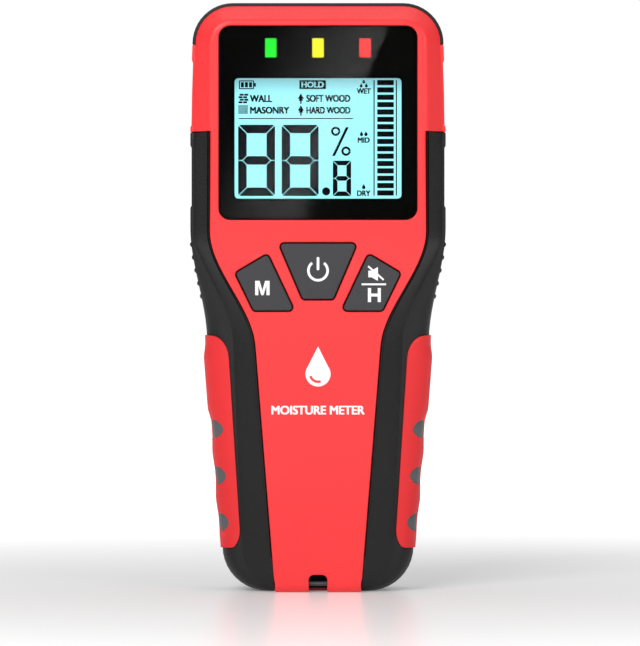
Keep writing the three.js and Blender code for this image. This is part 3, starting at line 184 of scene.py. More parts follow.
# ---------------------------------------------------------------- mesh tools
def sweep(bm, rails, closed=False):
    """Draws the first rail as a chain of edges and extrudes it through the others."""
    chain = [bm.verts.new(point) for point in rails[0]]

    def links(verts):
        pairs = list(zip(verts, verts[1:]))
        return pairs + [(verts[-1], verts[0])] if closed else pairs

    edges = [bm.edges.new(pair) for pair in links(chain)]
    first = list(edges)
    for rail in rails[1:]:
        made = bmesh.ops.extrude_edge_only(bm, edges=edges)["geom"]
        fresh = {item for item in made if isinstance(item, bmesh.types.BMVert)}
        chain = [next(edge.other_vert(vert) for edge in vert.link_edges if edge.other_vert(vert) in fresh)
                 for vert in chain]
        for vert, point in zip(chain, rail):
            vert.co = point
        edges = [bm.edges.get(pair) for pair in links(chain)]
    return first, edges


def tube(bm, rails):
    """A closed body: rings joined in turn, with both ends filled."""
    first, last = sweep(bm, rails, closed=True)
    bmesh.ops.edgeloop_fill(bm, edges=first)
    bmesh.ops.edgeloop_fill(bm, edges=last)


def slab(bm, outline, front, rear):
    """A closed plate with a given outline, seen from the front, between two depths."""
    tube(bm, [[Vector((x, y, z)) for x, z in outline] for y in (front, rear)])


def block(bm, low, high):
    size = Vector(high) - Vector(low)
    middle = (Vector(high) + Vector(low)) / 2
    matrix = Matrix.Translation(middle) @ Matrix.Diagonal((*size, 1.0))
    return bmesh.ops.create_cube(bm, size=1.0, matrix=matrix)["verts"]


def rod(bm, start, end, radius, sides=32):
    """A round bar between two points."""
    start, end = Vector(start), Vector(end)
    span = end - start
    matrix = Matrix.Translation((start + end) / 2) @ span.to_track_quat("Z", "Y").to_matrix().to_4x4()
    bmesh.ops.create_cone(
        bm, cap_ends=True, segments=sides, radius1=radius, radius2=radius, depth=span.length,
        matrix=matrix)


def rounded(corners, radius, grow=0.0, corner_steps=5):
    """An outline from a few corners, given anticlockwise, moved out by grow and rounded."""
    points = [Vector(corner) for corner in corners]
    count = len(points)
    moved = []
    for i, point in enumerate(points):
        before = (point - points[i - 1]).normalized()
        after = (points[(i + 1) % count] - point).normalized()
        outward = Vector((before.y + after.y, -before.x - after.x)).normalized()
        moved.append(point + outward * grow / math.cos(before.angle(after) / 2))
    radius = max(radius + grow, 0.05)
    outline = []
    for i, point in enumerate(moved):
        back = (moved[i - 1] - point).normalized()
        ahead = (moved[(i + 1) % count] - point).normalized()
        half = back.angle(ahead) / 2
        centre = point + (back + ahead).normalized() * radius / math.sin(half)
        start = point + back * radius / math.tan(half) - centre
        end = point + ahead * radius / math.tan(half) - centre
        outline += [centre + start.slerp(end, share).normalized() * radius
                    for share in steps(0.0, 1.0, corner_steps)]
    return outline


def rectangle(width, height, x=0.0, z=0.0):
    half, tall = width / 2, height / 2
    return [(x - half, z - tall), (x + half, z - tall), (x + half, z + tall), (x - half, z + tall)]


def circle(radius, x=0.0, z=0.0, sides=28):
    return [Vector((x + radius * math.cos(2 * math.pi * i / sides),
                    z + radius * math.sin(2 * math.pi * i / sides))) for i in range(sides)]


def arc_band(inner, outer, start, end, x=0.0, z=0.0, count=30):
    """Part of a flat ring, between two angles in degrees."""
    turns = [math.radians(turn) for turn in steps(start, end, count)]
    rim = [Vector((x + outer * math.cos(turn), z + outer * math.sin(turn))) for turn in turns]
    hole = [Vector((x + inner * math.cos(turn), z + inner * math.sin(turn))) for turn in turns]
    return rim + hole[::-1]


def on_face(x, z, lift):
    return Vector((x, face_depth(z) - lift, z))


def on_back(x, z, lift):
    return Vector((x, REAR + lift, z))


def on_flank(y, z, lift):
    return front_point(along(z), flank_across(y, z), lift)


def funnel(bm, place, shape, rim, depth, reach=1.0):
    """A closed cutter: a hole of that shape, whose mouth opens out by a quarter round."""
    rails = [[place(u, v, reach) for u, v in shape(rim)], [place(u, v, 0.01) for u, v in shape(rim)]]
    for turn in steps(0.0, math.pi / 2, 4)[1:]:
        grow, sunk = rim * (1.0 - math.sin(turn)), rim * (1.0 - math.cos(turn))
        rails.append([place(u, v, -sunk) for u, v in shape(grow)])
    rails.append([place(u, v, -depth) for u, v in shape(0.0)])
    tube(bm, rails)


def tidy_normals(bm):
    bmesh.ops.remove_doubles(bm, verts=bm.verts, dist=WELD)
    bmesh.ops.recalc_face_normals(bm, faces=bm.faces)


def face_towards(bm, direction):
    """Turns an open sheet over if most of it faces away from a direction."""
    way = Vector(direction)
    if sum(face.normal.dot(way) * face.calc_area() for face in bm.faces) < 0.0:
        bmesh.ops.reverse_faces(bm, faces=bm.faces)


def mirrored(bm):
    """The same form on the left as well, joined along the middle."""
    bmesh.ops.mirror(bm, geom=bm.verts[:] + bm.edges[:] + bm.faces[:], axis="X", merge_dist=SEAM)
    tidy_normals(bm)


def flip_side(bm, side):
    """Moves a right-hand form to the left when side is negative."""
    if side < 0:
        bmesh.ops.scale(bm, vec=(-1.0, 1.0, 1.0), verts=bm.verts)
        bmesh.ops.reverse_faces(bm, faces=bm.faces)


def thicken(bm, wall):
    """Gives an open sheet a wall inwards, and draws back inner corners that stand out at sharp folds."""
    sheet, outer = BVHTree.FromBMesh(bm), set(bm.verts)
    bmesh.ops.solidify(bm, geom=bm.faces[:], thickness=wall)
    astray = {vert for vert in bm.verts if vert not in outer and sheet.find_nearest(vert.co)[3] > 1.5 * wall}
    while astray:
        settled = {}
        for vert in astray:
            near = [edge.other_vert(vert) for edge in vert.link_edges]
            steady = [other.co for other in near if other not in astray]
            if steady:
                settled[vert] = sum(steady, Vector()) / len(steady)
        if not settled:
            raise RuntimeError("a wall has no steady corner")
        for vert, place in settled.items():
            vert.co = place
        astray -= settled.keys()
    bmesh.ops.recalc_face_normals(bm, faces=bm.faces)


def soften(bm, width, least_angle, segments=2, keep=lambda edge: True):
    """Rounds every edge sharper than an angle in degrees."""
    limit = math.radians(least_angle)
    edges = [edge for edge in bm.edges
             if edge.is_manifold and edge.calc_face_angle(0.0) > limit and keep(edge)]
    bmesh.ops.bevel(
        bm, geom=edges, offset=width, affect="EDGES", segments=segments, profile=0.5,
        clamp_overlap=True, material=-1)


def temporary(bm, name):
    mesh = bpy.data.meshes.new(name)
    bm.to_mesh(mesh)
    item = bpy.data.objects.new(name, mesh)
    bpy.context.scene.collection.objects.link(item)
    return item


def discard(item):
    mesh = item.data
    bpy.data.objects.remove(item)
    if isinstance(mesh, bpy.types.Mesh):
        bpy.data.meshes.remove(mesh)


def carve(bm, cutter, overlapping=False, operation="DIFFERENCE"):
    """Cuts the closed forms of one bmesh out of another and returns what is left."""
    bmesh.ops.recalc_face_normals(bm, faces=bm.faces)
    bmesh.ops.recalc_face_normals(cutter, faces=cutter.faces)
    body, tool = temporary(bm, "body_in_work"), temporary(cutter, "cutter_in_work")
    cut = body.modifiers.new("cut", "BOOLEAN")
    cut.operation, cut.solver, cut.object, cut.use_self = operation, "EXACT", tool, overlapping
    bpy.context.view_layer.update()
    result = bmesh.new()
    result.from_object(body, bpy.context.evaluated_depsgraph_get())
    bm.free()
    cutter.free()
    discard(body)
    discard(tool)
    if not result.faces:
        raise RuntimeError("a cut left nothing of its piece")
    bmesh.ops.remove_doubles(result, verts=result.verts, dist=WELD)
    return result


def join(bm, other):
    """Adds the form of another bmesh, which is used up."""
    mesh = bpy.data.meshes.new("form_in_work")
    other.to_mesh(mesh)
    other.free()
    bm.from_mesh(mesh)
    bpy.data.meshes.remove(mesh)


def from_node(name):
    """A merged copy of a frame part's form, in millimetres."""
    bm = bmesh.new()
    bm.from_mesh(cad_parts[name].data)
    bmesh.ops.scale(bm, vec=(1 / MM,) * 3, verts=bm.verts)
    bmesh.ops.remove_doubles(bm, verts=bm.verts, dist=SEAM)
    bmesh.ops.dissolve_limit(bm, angle_limit=math.radians(1.0), verts=bm.verts, edges=bm.edges)
    bmesh.ops.recalc_face_normals(bm, faces=bm.faces)
    return bm


def piece(name, bm, materials, body="case", replaces=(), sharp=38.0, weighted=True):
    """Makes the finished form an object, hangs it under its body's empty and hides the frame parts it
    replaces.
    """
    bmesh.ops.scale(bm, vec=(MM,) * 3, verts=bm.verts)
    limit = math.radians(sharp)
    for face in bm.faces:
        face.smooth = True
    for edge in bm.edges:
        edge.smooth = edge.is_manifold and edge.calc_face_angle(0.0) < limit
    mesh = bpy.data.meshes.new(name)
    bm.to_mesh(mesh)
    bm.free()
    item = bpy.data.objects.new(name, mesh)
    bpy.context.scene.collection.objects.link(item)
    for name_of_material in materials:
        mesh.materials.append(finish(name_of_material))
    if weighted:
        normals = item.modifiers.new("even_normals", "WEIGHTED_NORMAL")
        normals.keep_sharp = True
    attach(item, body)
    if replaces:
        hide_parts(*replaces)
    return item


def lettering(bm, words, width, height, x, z, depth, thick=0.04, bold=0.0):
    """Adds words as closed letters, as wide and tall as given, to a mesh, facing forwards.
    Bold letters are four that overlap, as far apart as the strokes gain, each a trace deeper."""
    if bold:
        for i, (across, up) in enumerate(((-1, -1), (1, -1), (-1, 1), (1, 1))):
            lettering(bm, words, width - bold, height - bold / 2, x + across * bold / 2, z + up * bold / 4,
                      depth + 0.003 * i, thick)
        return
    curve = bpy.data.curves.new("letters", "FONT")
    curve.body, curve.extrude = words, 0.5
    curve.resolution_u = 4
    item = bpy.data.objects.new("letters", curve)
    bpy.context.scene.collection.objects.link(item)
    bpy.context.view_layer.update()
    mesh = bpy.data.meshes.new_from_object(item.evaluated_get(bpy.context.evaluated_depsgraph_get()))
    xs, ys = [v.co.x for v in mesh.vertices], [v.co.y for v in mesh.vertices]
    middle = Vector(((max(xs) + min(xs)) / 2, (max(ys) + min(ys)) / 2, 0.0))
    grow = Matrix.Diagonal((width / (max(xs) - min(xs)), height / (max(ys) - min(ys)), thick, 1.0))
    stand = Matrix.Translation((x, 0.0, z)) @ Matrix.Rotation(math.pi / 2, 4, "X")
    mesh.transform(stand @ grow @ Matrix.Translation(-middle))
    start = len(bm.verts)
    bm.from_mesh(mesh)
    bm.verts.ensure_lookup_table()
    for vert in bm.verts[start:]:
        vert.co.y += depth
    bpy.data.objects.remove(item)
    bpy.data.curves.remove(curve)
    bpy.data.meshes.remove(mesh)


# ---------------------------------------------------------------- shader node groups
def new_group(name, inputs, outputs):
    tree = bpy.data.node_groups.new(name, "ShaderNodeTree")
    for label, kind, value in inputs:
        socket = tree.interface.new_socket(name=label, in_out="INPUT", socket_type=kind)
        if value is not None:
            socket.default_value = value
    for label, kind in outputs:
        tree.interface.new_socket(name=label, in_out="OUTPUT", socket_type=kind)
    return tree, tree.nodes.new("NodeGroupInput"), tree.nodes.new("NodeGroupOutput")


def math_node(tree, operation, first, second=None, third=None, clamp=False):
    node = tree.nodes.new("ShaderNodeMath")
    node.operation, node.use_clamp = operation, clamp
    for socket, value in zip(node.inputs, (first, second, third)):
        if value is None:
            continue
        if isinstance(value, (int, float)):
            socket.default_value = value
        else:
            tree.links.new(value, socket)
    return node.outputs[0]


def noise_node(tree, vector, scale, detail=2.0, roughness=0.5):
    node = tree.nodes.new("ShaderNodeTexNoise")
    node.inputs["Detail"].default_value, node.inputs["Roughness"].default_value = detail, roughness
    if isinstance(scale, (int, float)):
        node.inputs["Scale"].default_value = scale
    else:
        tree.links.new(scale, node.inputs["Scale"])
    tree.links.new(vector, node.inputs["Vector"])
    return node.outputs["Fac"]


def range_node(tree, value, low, high, to_low=0.0, to_high=1.0):
    node = tree.nodes.new("ShaderNodeMapRange")
    node.interpolation_type = "SMOOTHSTEP"
    for label, number in (("From Min", low), ("From Max", high), ("To Min", to_low), ("To Max", to_high)):
        if isinstance(number, (int, float)):
            node.inputs[label].default_value = number
        else:
            tree.links.new(number, node.inputs[label])
    tree.links.new(value, node.inputs["Value"])
    return node.outputs["Result"]


def build_grain_group():
    """Spark-eroded mould texture: fine round grains over a slower unevenness."""
    tree, given, result = new_group(
        "mould_grain",
        [("Vector", "NodeSocketVector", None), ("Grains per Metre", "NodeSocketFloat", 2500.0),
         ("Unevenness", "NodeSocketFloat", 0.3)],
        [("Height", "NodeSocketFloat"), ("Shade", "NodeSocketFloat")])
    cells = tree.nodes.new("ShaderNodeTexVoronoi")
    cells.feature = "SMOOTH_F1"
    tree.links.new(given.outputs["Vector"], cells.inputs["Vector"])
    tree.links.new(given.outputs["Grains per Metre"], cells.inputs["Scale"])
    fine = noise_node(tree, given.outputs["Vector"],
                      math_node(tree, "MULTIPLY", given.outputs["Grains per Metre"], 0.55), 3.0, 0.6)
    slow = noise_node(tree, given.outputs["Vector"], 60.0, 2.0)
    grains = math_node(tree, "ADD", math_node(tree, "MULTIPLY", cells.outputs["Distance"], 0.5), fine)
    height = math_node(tree, "ADD", grains, math_node(tree, "MULTIPLY", slow, given.outputs["Unevenness"]))
    tree.links.new(height, result.inputs["Height"])
    tree.links.new(slow, result.inputs["Shade"])
    return tree


def build_rub_group():
    """Wear where corners stand out: 1 on rubbed edges, 0 elsewhere."""
    tree, given, result = new_group(
        "edge_rub",
        [("Vector", "NodeSocketVector", None), ("Reach", "NodeSocketFloat", 0.54),
         ("Patchiness", "NodeSocketFloat", 0.6)],
        [("Mask", "NodeSocketFloat")])
    shape = tree.nodes.new("ShaderNodeNewGeometry")
    edge = range_node(tree, shape.outputs["Pointiness"], given.outputs["Reach"], 0.62)
    patches = noise_node(tree, given.outputs["Vector"], 420.0, 4.0, 0.65)
    cover = range_node(tree, patches, math_node(tree, "MULTIPLY", given.outputs["Patchiness"], 0.55), 0.75)
    tree.links.new(math_node(tree, "MULTIPLY", edge, cover, clamp=True), result.inputs["Mask"])
    return tree


def build_handling_group():
    """Smudges and hair scratches from use, as a change of roughness round zero."""
    tree, given, result = new_group(
        "handling_marks",
        [("Vector", "NodeSocketVector", None), ("Smudges", "NodeSocketFloat", 0.5),
         ("Scratches", "NodeSocketFloat", 0.3)],
        [("Roughness Change", "NodeSocketFloat"), ("Scratch Height", "NodeSocketFloat")])
    film = noise_node(tree, given.outputs["Vector"], 45.0, 3.0, 0.55)
    smudge = range_node(tree, film, 0.35, 0.7, -0.5, 0.5)
    turned = tree.nodes.new("ShaderNodeMapping")
    turned.inputs["Rotation"].default_value = (0.3, 0.5, 0.2)
    turned.inputs["Scale"].default_value = (60.0, 900.0, 2600.0)
    tree.links.new(given.outputs["Vector"], turned.inputs["Vector"])
    lines = range_node(tree, noise_node(tree, turned.outputs["Vector"], 1.0, 2.0), 0.68, 0.74)
    scratch = math_node(tree, "MULTIPLY", lines, given.outputs["Scratches"])
    change = math_node(tree, "ADD", math_node(tree, "MULTIPLY", smudge, given.outputs["Smudges"]), scratch)
    tree.links.new(change, result.inputs["Roughness Change"])
    tree.links.new(scratch, result.inputs["Scratch Height"])
    return tree


def build_dust_group():
    """Fine dust on surfaces that face up."""
    tree, given, result = new_group(
        "settled_dust",
        [("Vector", "NodeSocketVector", None), ("Amount", "NodeSocketFloat", 0.2)],
        [("Mask", "NodeSocketFloat")])
    shape = tree.nodes.new("ShaderNodeNewGeometry")
    parts = tree.nodes.new("ShaderNodeSeparateXYZ")
    tree.links.new(shape.outputs["Normal"], parts.inputs[0])
    upward = range_node(tree, parts.outputs["Z"], 0.55, 1.0)
    specks = range_node(tree, noise_node(tree, given.outputs["Vector"], 900.0, 4.0, 0.7), 0.4, 0.75)
    mask = math_node(tree, "MULTIPLY", upward, math_node(tree, "MULTIPLY", specks, given.outputs["Amount"]))
    tree.links.new(mask, result.inputs["Mask"])
    return tree


def build_drawn_group():
    """Fine lines of drawn or pressed metal along X, and a few stains."""
    tree, given, result = new_group(
        "drawn_lines", [("Vector", "NodeSocketVector", None)],
        [("Lines", "NodeSocketFloat"), ("Stains", "NodeSocketFloat")])
    stretched = tree.nodes.new("ShaderNodeMapping")
    stretched.inputs["Scale"].default_value = (40.0, 1800.0, 1800.0)
    tree.links.new(given.outputs["Vector"], stretched.inputs["Vector"])
    tree.links.new(noise_node(tree, stretched.outputs["Vector"], 1.0, 3.0), result.inputs["Lines"])
    stains = range_node(tree, noise_node(tree, given.outputs["Vector"], 320.0, 3.0), 0.45, 0.75)
    tree.links.new(math_node(tree, "MULTIPLY", stains, 0.35), result.inputs["Stains"])
    return tree


def build_frost_group():
    """Fine frosting in clear plastic."""
    tree, given, result = new_group(
        "frosting", [("Vector", "NodeSocketVector", None)],
        [("Frost", "NodeSocketFloat"), ("Roughness", "NodeSocketFloat")])
    frost = noise_node(tree, given.outputs["Vector"], 1500.0, 3.0)
    tree.links.new(frost, result.inputs["Frost"])
    tree.links.new(range_node(tree, frost, 0.3, 0.7, 0.25, 0.45), result.inputs["Roughness"])
    return tree


GROUP_MAKERS = {
    "drawn_lines": build_drawn_group,
    "frosting": build_frost_group,
    "mould_grain": build_grain_group,
    "edge_rub": build_rub_group,
    "handling_marks": build_handling_group,
    "settled_dust": build_dust_group,
}


def group(tree, name, vector, **values):
    """Places a shared effect in a material, making it the first time."""
    node = tree.nodes.new("ShaderNodeGroup")
    node.node_tree = bpy.data.node_groups.get(name) or GROUP_MAKERS[name]()
    tree.links.new(vector, node.inputs["Vector"])
    for label, value in values.items():
        node.inputs[label.replace("_", " ")].default_value = value
    return node.outputs


# ---------------------------------------------------------------- materials
def own_place(tree):
    """Where a point lies on its piece, in metres."""
    return tree.nodes.new("ShaderNodeTexCoord").outputs["Object"]


def relief(tree, shader, height, strength, distance):
    """Lets a pattern's height raise the surface."""
    bump = tree.nodes.new("ShaderNodeBump")
    bump.inputs["Strength"].default_value, bump.inputs["Distance"].default_value = strength, distance
    tree.links.new(height, bump.inputs["Height"])
    tree.links.new(bump.outputs["Normal"], shader.inputs["Normal"])


def mix_colour(tree, share, first, second):
    node = tree.nodes.new("ShaderNodeMix")
    node.data_type = "RGBA"
    for socket, value in ((node.inputs[0], share), (node.inputs[6], first), (node.inputs[7], second)):
        if isinstance(value, (int, float)):
            socket.default_value = value
        elif isinstance(value, (tuple, list)):
            socket.default_value = (*value[:3], 1.0)
        else:
            tree.links.new(value, socket)
    return node.outputs[2]


def shade(colour, factor):
    return tuple(min(part * factor, 1.0) for part in colour[:3])


DUST = (0.42, 0.4, 0.37)
GRAIN_HEIGHT = 0.0002  # metres


def moulded(tree, shader, colour, roughness, grain=2600.0, bump=0.08, rub=0.35, variation=0.06,
            scratches=0.03, dust=0.12, gloss=0.5):
    """A moulded surface: grain, slight unevenness of colour, rubbed edges, handling and dust."""
    shader.inputs["Specular IOR Level"].default_value = gloss
    place = own_place(tree)
    grains = group(tree, "mould_grain", place, Grains_per_Metre=grain)
    rubbed = group(tree, "edge_rub", place)
    marks = group(tree, "handling_marks", place, Smudges=0.05, Scratches=scratches)
    dusty = group(tree, "settled_dust", place, Amount=dust)
    base = mix_colour(tree, grains["Shade"], shade(colour, 1.0 - variation), shade(colour, 1.0 + variation))
    lighter = tuple(mix(part, 0.6, 0.12) for part in shade(colour, 1.5))
    base = mix_colour(tree, math_node(tree, "MULTIPLY", rubbed["Mask"], rub), base, lighter)
    base = mix_colour(tree, dusty["Mask"], base, DUST)
    tree.links.new(base, shader.inputs["Base Color"])
    uneven = math_node(tree, "ADD", marks["Roughness Change"], roughness)
    uneven = math_node(tree, "ADD", uneven, math_node(tree, "MULTIPLY", dusty["Mask"], 0.4), clamp=True)
    tree.links.new(uneven, shader.inputs["Roughness"])
    scratch = math_node(tree, "MULTIPLY", marks["Scratch Height"], 4.0)
    height = math_node(tree, "SUBTRACT", grains["Height"], scratch)
    relief(tree, shader, height, bump, GRAIN_HEIGHT)


def brushed(tree, shader, colour, roughness):
    """Drawn or pressed metal with fine lines along X and a few stains."""
    drawn = group(tree, "drawn_lines", own_place(tree))
    base = mix_colour(tree, drawn["Lines"], shade(colour, 0.85), colour)
    base = mix_colour(tree, drawn["Stains"], base, shade(colour, 0.55))
    tree.links.new(base, shader.inputs["Base Color"])
    worn = range_node(tree, drawn["Lines"], 0.2, 0.8, roughness - 0.08, roughness + 0.12)
    tree.links.new(worn, shader.inputs["Roughness"])
    shader.inputs["Metallic"].default_value = 1.0


def printed_board(tree, shader, colour):
    """Solder resist over copper tracks, with the tracks as a faint raised weave of lines."""
    place = own_place(tree)
    tracks = tree.nodes.new("ShaderNodeTexBrick")
    tracks.offset, tracks.squash = 0.37, 1.0
    turned = tree.nodes.new("ShaderNodeMapping")
    turned.inputs["Rotation"].default_value = (math.pi / 2, 0.0, 0.0)
    tree.links.new(place, turned.inputs["Vector"])
    tree.links.new(turned.outputs["Vector"], tracks.inputs["Vector"])
    tracks.inputs["Scale"].default_value = 260.0
    tracks.inputs["Mortar Size"].default_value = 0.03
    raised = range_node(tree, tracks.outputs["Fac"], 0.2, 0.8)
    spots = range_node(tree, noise_node(tree, place, 700.0, 2.0), 0.62, 0.66)
    base = mix_colour(tree, raised, colour, shade(colour, 1.9))
    base = mix_colour(tree, spots, base, shade(colour, 0.7))
    tree.links.new(base, shader.inputs["Base Color"])
    tree.links.new(range_node(tree, spots, 0.0, 1.0, 0.28, 0.5), shader.inputs["Roughness"])
    relief(tree, shader, raised, 0.3, 0.0001)


def glowing_panel(tree, shader, colour):
    """The lit display: even light with a slight cloudiness, and painted shade that darkens it towards its
    upper edge, where the rim's shadow falls.
    """
    place = own_place(tree)
    parts = tree.nodes.new("ShaderNodeSeparateXYZ")
    tree.links.new(place, parts.inputs[0])
    # Painted shade: the display's light is darkened towards its upper edge, standing for the shadow of the
    # rim above it.
    upper = range_node(tree, parts.outputs["Z"], 0.1335, 0.1398)
    cloud = noise_node(tree, place, 55.0, 2.0)
    light = mix_colour(tree, cloud, shade(colour, 0.97), shade(colour, 1.03))
    light = mix_colour(tree, math_node(tree, "MULTIPLY", upper, 0.62), light, (0.13, 0.25, 0.3))
    cells = tree.nodes.new("ShaderNodeTexChecker")
    cells.inputs["Scale"].default_value = 6000.0
    tree.links.new(place, cells.inputs["Vector"])
    weave = math_node(tree, "MULTIPLY", cells.outputs["Fac"], 0.03)
    light = mix_colour(tree, weave, light, shade(colour, 0.8))
    tree.links.new(light, shader.inputs["Emission Color"])
    base = mix_colour(tree, cloud, shade(colour, 0.12), shade(colour, 0.16))
    tree.links.new(base, shader.inputs["Base Color"])
    tree.links.new(range_node(tree, cloud, 0.3, 0.7, 0.3, 0.42), shader.inputs["Roughness"])
    shader.inputs["Emission Strength"].default_value = 1.0


def lamp_glow(tree, shader, colour):
    """A light pipe's tip, a little frosted."""
    frosted = group(tree, "frosting", own_place(tree))
    light = mix_colour(tree, frosted["Frost"], shade(colour, 0.9), colour)
    tree.links.new(light, shader.inputs["Emission Color"])
    base = mix_colour(tree, frosted["Frost"], shade(colour, 0.03), shade(colour, 0.06))
    tree.links.new(base, shader.inputs["Base Color"])
    tree.links.new(frosted["Roughness"], shader.inputs["Roughness"])
    shader.inputs["Specular IOR Level"].default_value = 0.1
    shader.inputs["Emission Strength"].default_value = 1.0


def clear_pane(tree, shader, colour):
    """A clear pane with the weak reflections of a coated surface and faint smudges and scratches in its
    roughness.
    """
    place = own_place(tree)
    marks = group(tree, "handling_marks", place, Smudges=0.03, Scratches=0.02)
    uneven = math_node(tree, "ADD", marks["Roughness Change"], 0.02, clamp=True)
    tree.links.new(uneven, shader.inputs["Roughness"])
    shader.inputs["Base Color"].default_value = (*colour[:3], 1.0)
    shader.inputs["Transmission Weight"].default_value = 1.0
    shader.inputs["IOR"].default_value = 1.16


def soft_foam(tree, shader, colour):
    """Open-celled foam, with painted shade darkening its pores."""
    place = own_place(tree)
    cells = tree.nodes.new("ShaderNodeTexVoronoi")
    cells.inputs["Scale"].default_value = 1800.0
    tree.links.new(place, cells.inputs["Vector"])
    pores = range_node(tree, cells.outputs["Distance"], 0.1, 0.5)
    # Painted shade: the colour darkens in the pores; the same mask sets the roughness and the bump.
    tree.links.new(mix_colour(tree, pores, shade(colour, 0.5), colour), shader.inputs["Base Color"])
    tree.links.new(range_node(tree, pores, 0.0, 1.0, 0.98, 0.85), shader.inputs["Roughness"])
    relief(tree, shader, pores, 0.7, 0.0004)


def battery_wrap(tree, shader, colour):
    """A painted metal jacket: dark above and a warm band below, meeting at a sharp edge."""
    place = own_place(tree)
    parts = tree.nodes.new("ShaderNodeSeparateXYZ")
    tree.links.new(place, parts.inputs[0])
    upper = range_node(tree, parts.outputs["Z"], 0.0418, 0.042)
    foil = noise_node(tree, place, 240.0, 4.0)
    band = mix_colour(tree, foil, (0.42, 0.2, 0.05), (0.55, 0.28, 0.08))
    base = mix_colour(tree, upper, band, shade(colour, 1.0))
    tree.links.new(base, shader.inputs["Base Color"])
    tree.links.new(range_node(tree, foil, 0.3, 0.7, 0.25, 0.36), shader.inputs["Roughness"])
    shader.inputs["Metallic"].default_value = 0.6


MATT_PRINT = dict(roughness=0.5, bump=0.01, rub=0.0, dust=0.0, gloss=0.0)

# Each finish: how its nodes are made, its colour and the values of that maker.
FINISHES = {
    "red_plastic": (moulded, "red", dict(roughness=0.38, bump=0.035, grain=3200.0, rub=0.3, gloss=0.4)),
    "red_rubber": (moulded, "soft_red", dict(roughness=0.5, bump=0.09, grain=2600.0, rub=0.4, gloss=0.3)),
    "dark_rubber": (moulded, "dark", dict(
        roughness=0.5, bump=0.45, grain=2300.0, rub=0.35, dust=0.05, gloss=0.3)),
    "dark_plastic": (moulded, "dark_shell", dict(roughness=0.48, bump=0.16, grain=2600.0)),
    "door_plastic": (moulded, "dark_shell", dict(roughness=0.5, bump=0.16, grain=2600.0, rub=0.0)),
    "key_rubber": (moulded, "key", dict(
        roughness=0.5, bump=0.06, grain=3000.0, rub=0.2, dust=0.05, gloss=0.35)),
    "grey_rubber": (moulded, (0.085, 0.095, 0.1), dict(roughness=0.55, bump=0.1)),
    "pad_plastic": (moulded, (0.02, 0.021, 0.023), dict(roughness=0.4, bump=0.05, scratches=0.08)),
    "white_print": (moulded, (0.86, 0.86, 0.86), dict(roughness=0.5, bump=0.02, variation=0.02, rub=0.0)),
    "white_plastic": (moulded, (0.72, 0.72, 0.7), dict(roughness=0.45, bump=0.04)),
    "black_plastic": (moulded, (0.012, 0.012, 0.013), dict(roughness=0.4, bump=0.05)),
    "window_print": (moulded, "window", MATT_PRINT),
    "display_ink": (moulded, (0.004, 0.006, 0.008), MATT_PRINT),
    "clear_acrylic": (clear_pane, (1.0, 1.0, 1.0), {}),
    "display_glow": (glowing_panel, "display", {}),
    "lamp_green": (lamp_glow, (0.0, 0.95, 0.02), {}),
    "lamp_yellow": (lamp_glow, (1.0, 0.83, 0.0), {}),
    "lamp_red": (lamp_glow, (1.0, 0.012, 0.012), {}),
    "light_guide": (moulded, (0.7, 0.74, 0.76), dict(roughness=0.2, bump=0.02)),
    "circuit_board": (printed_board, (0.006, 0.07, 0.025), {}),
    "copper": (brushed, (0.85, 0.43, 0.24), dict(roughness=0.34)),
    "brass": (brushed, (0.82, 0.68, 0.36), dict(roughness=0.28)),
    "steel": (brushed, (0.62, 0.62, 0.61), dict(roughness=0.3)),
    "dark_steel": (brushed, (0.2, 0.2, 0.21), dict(roughness=0.38)),
    "battery_jacket": (battery_wrap, (0.012, 0.012, 0.014), {}),
    "grey_foam": (soft_foam, (0.08, 0.08, 0.085), {}),
}


def finish(name):
    """The finish of that name, made the first time."""
    found = bpy.data.materials.get(name)
    if found:
        return found
    maker, colour, values = FINISHES[name]
    if isinstance(colour, str):
        colour = tuple(getattr(bpy.context.scene.meter_colours, colour))
    material = bpy.data.materials.new(name)
    material.use_nodes = True
    shader = material.node_tree.nodes["Principled BSDF"]
    maker(material.node_tree, shader, colour, **values)
    material.diffuse_color = (*colour[:3], 1.0)
    return material


# ---------------------------------------------------------------- settings
class MeterSizes(bpy.types.PropertyGroup):
    edge_fillet: bpy.props.FloatProperty(
        name="Face edge fillet", description="Softening of the raised face's edge on the head",
        default=0.0012, min=0.0002, max=0.002, unit="LENGTH", precision=5)
    shell_wall: bpy.props.FloatProperty(
        name="Shell wall", description="Thickness of the visible mouldings",
        default=0.0015, min=0.001, max=0.002, unit="LENGTH", precision=5)
    key_proud: bpy.props.FloatProperty(
        name="Key height", description="How far the keys stand out of the face",
        default=0.0008, min=0.0003, max=0.0009, unit="LENGTH", precision=5)
    pad_proud: bpy.props.FloatProperty(
        name="Pad height", description="How far the red grip pads stand out of the dark grips",
        default=0.00055, min=0.0003, max=0.0012, unit="LENGTH", precision=5)
    print_thickness: bpy.props.FloatProperty(
        name="Print thickness", description="Thickness of printed marks",
        default=0.00005, min=0.00002, max=0.0002, unit="LENGTH", precision=6)


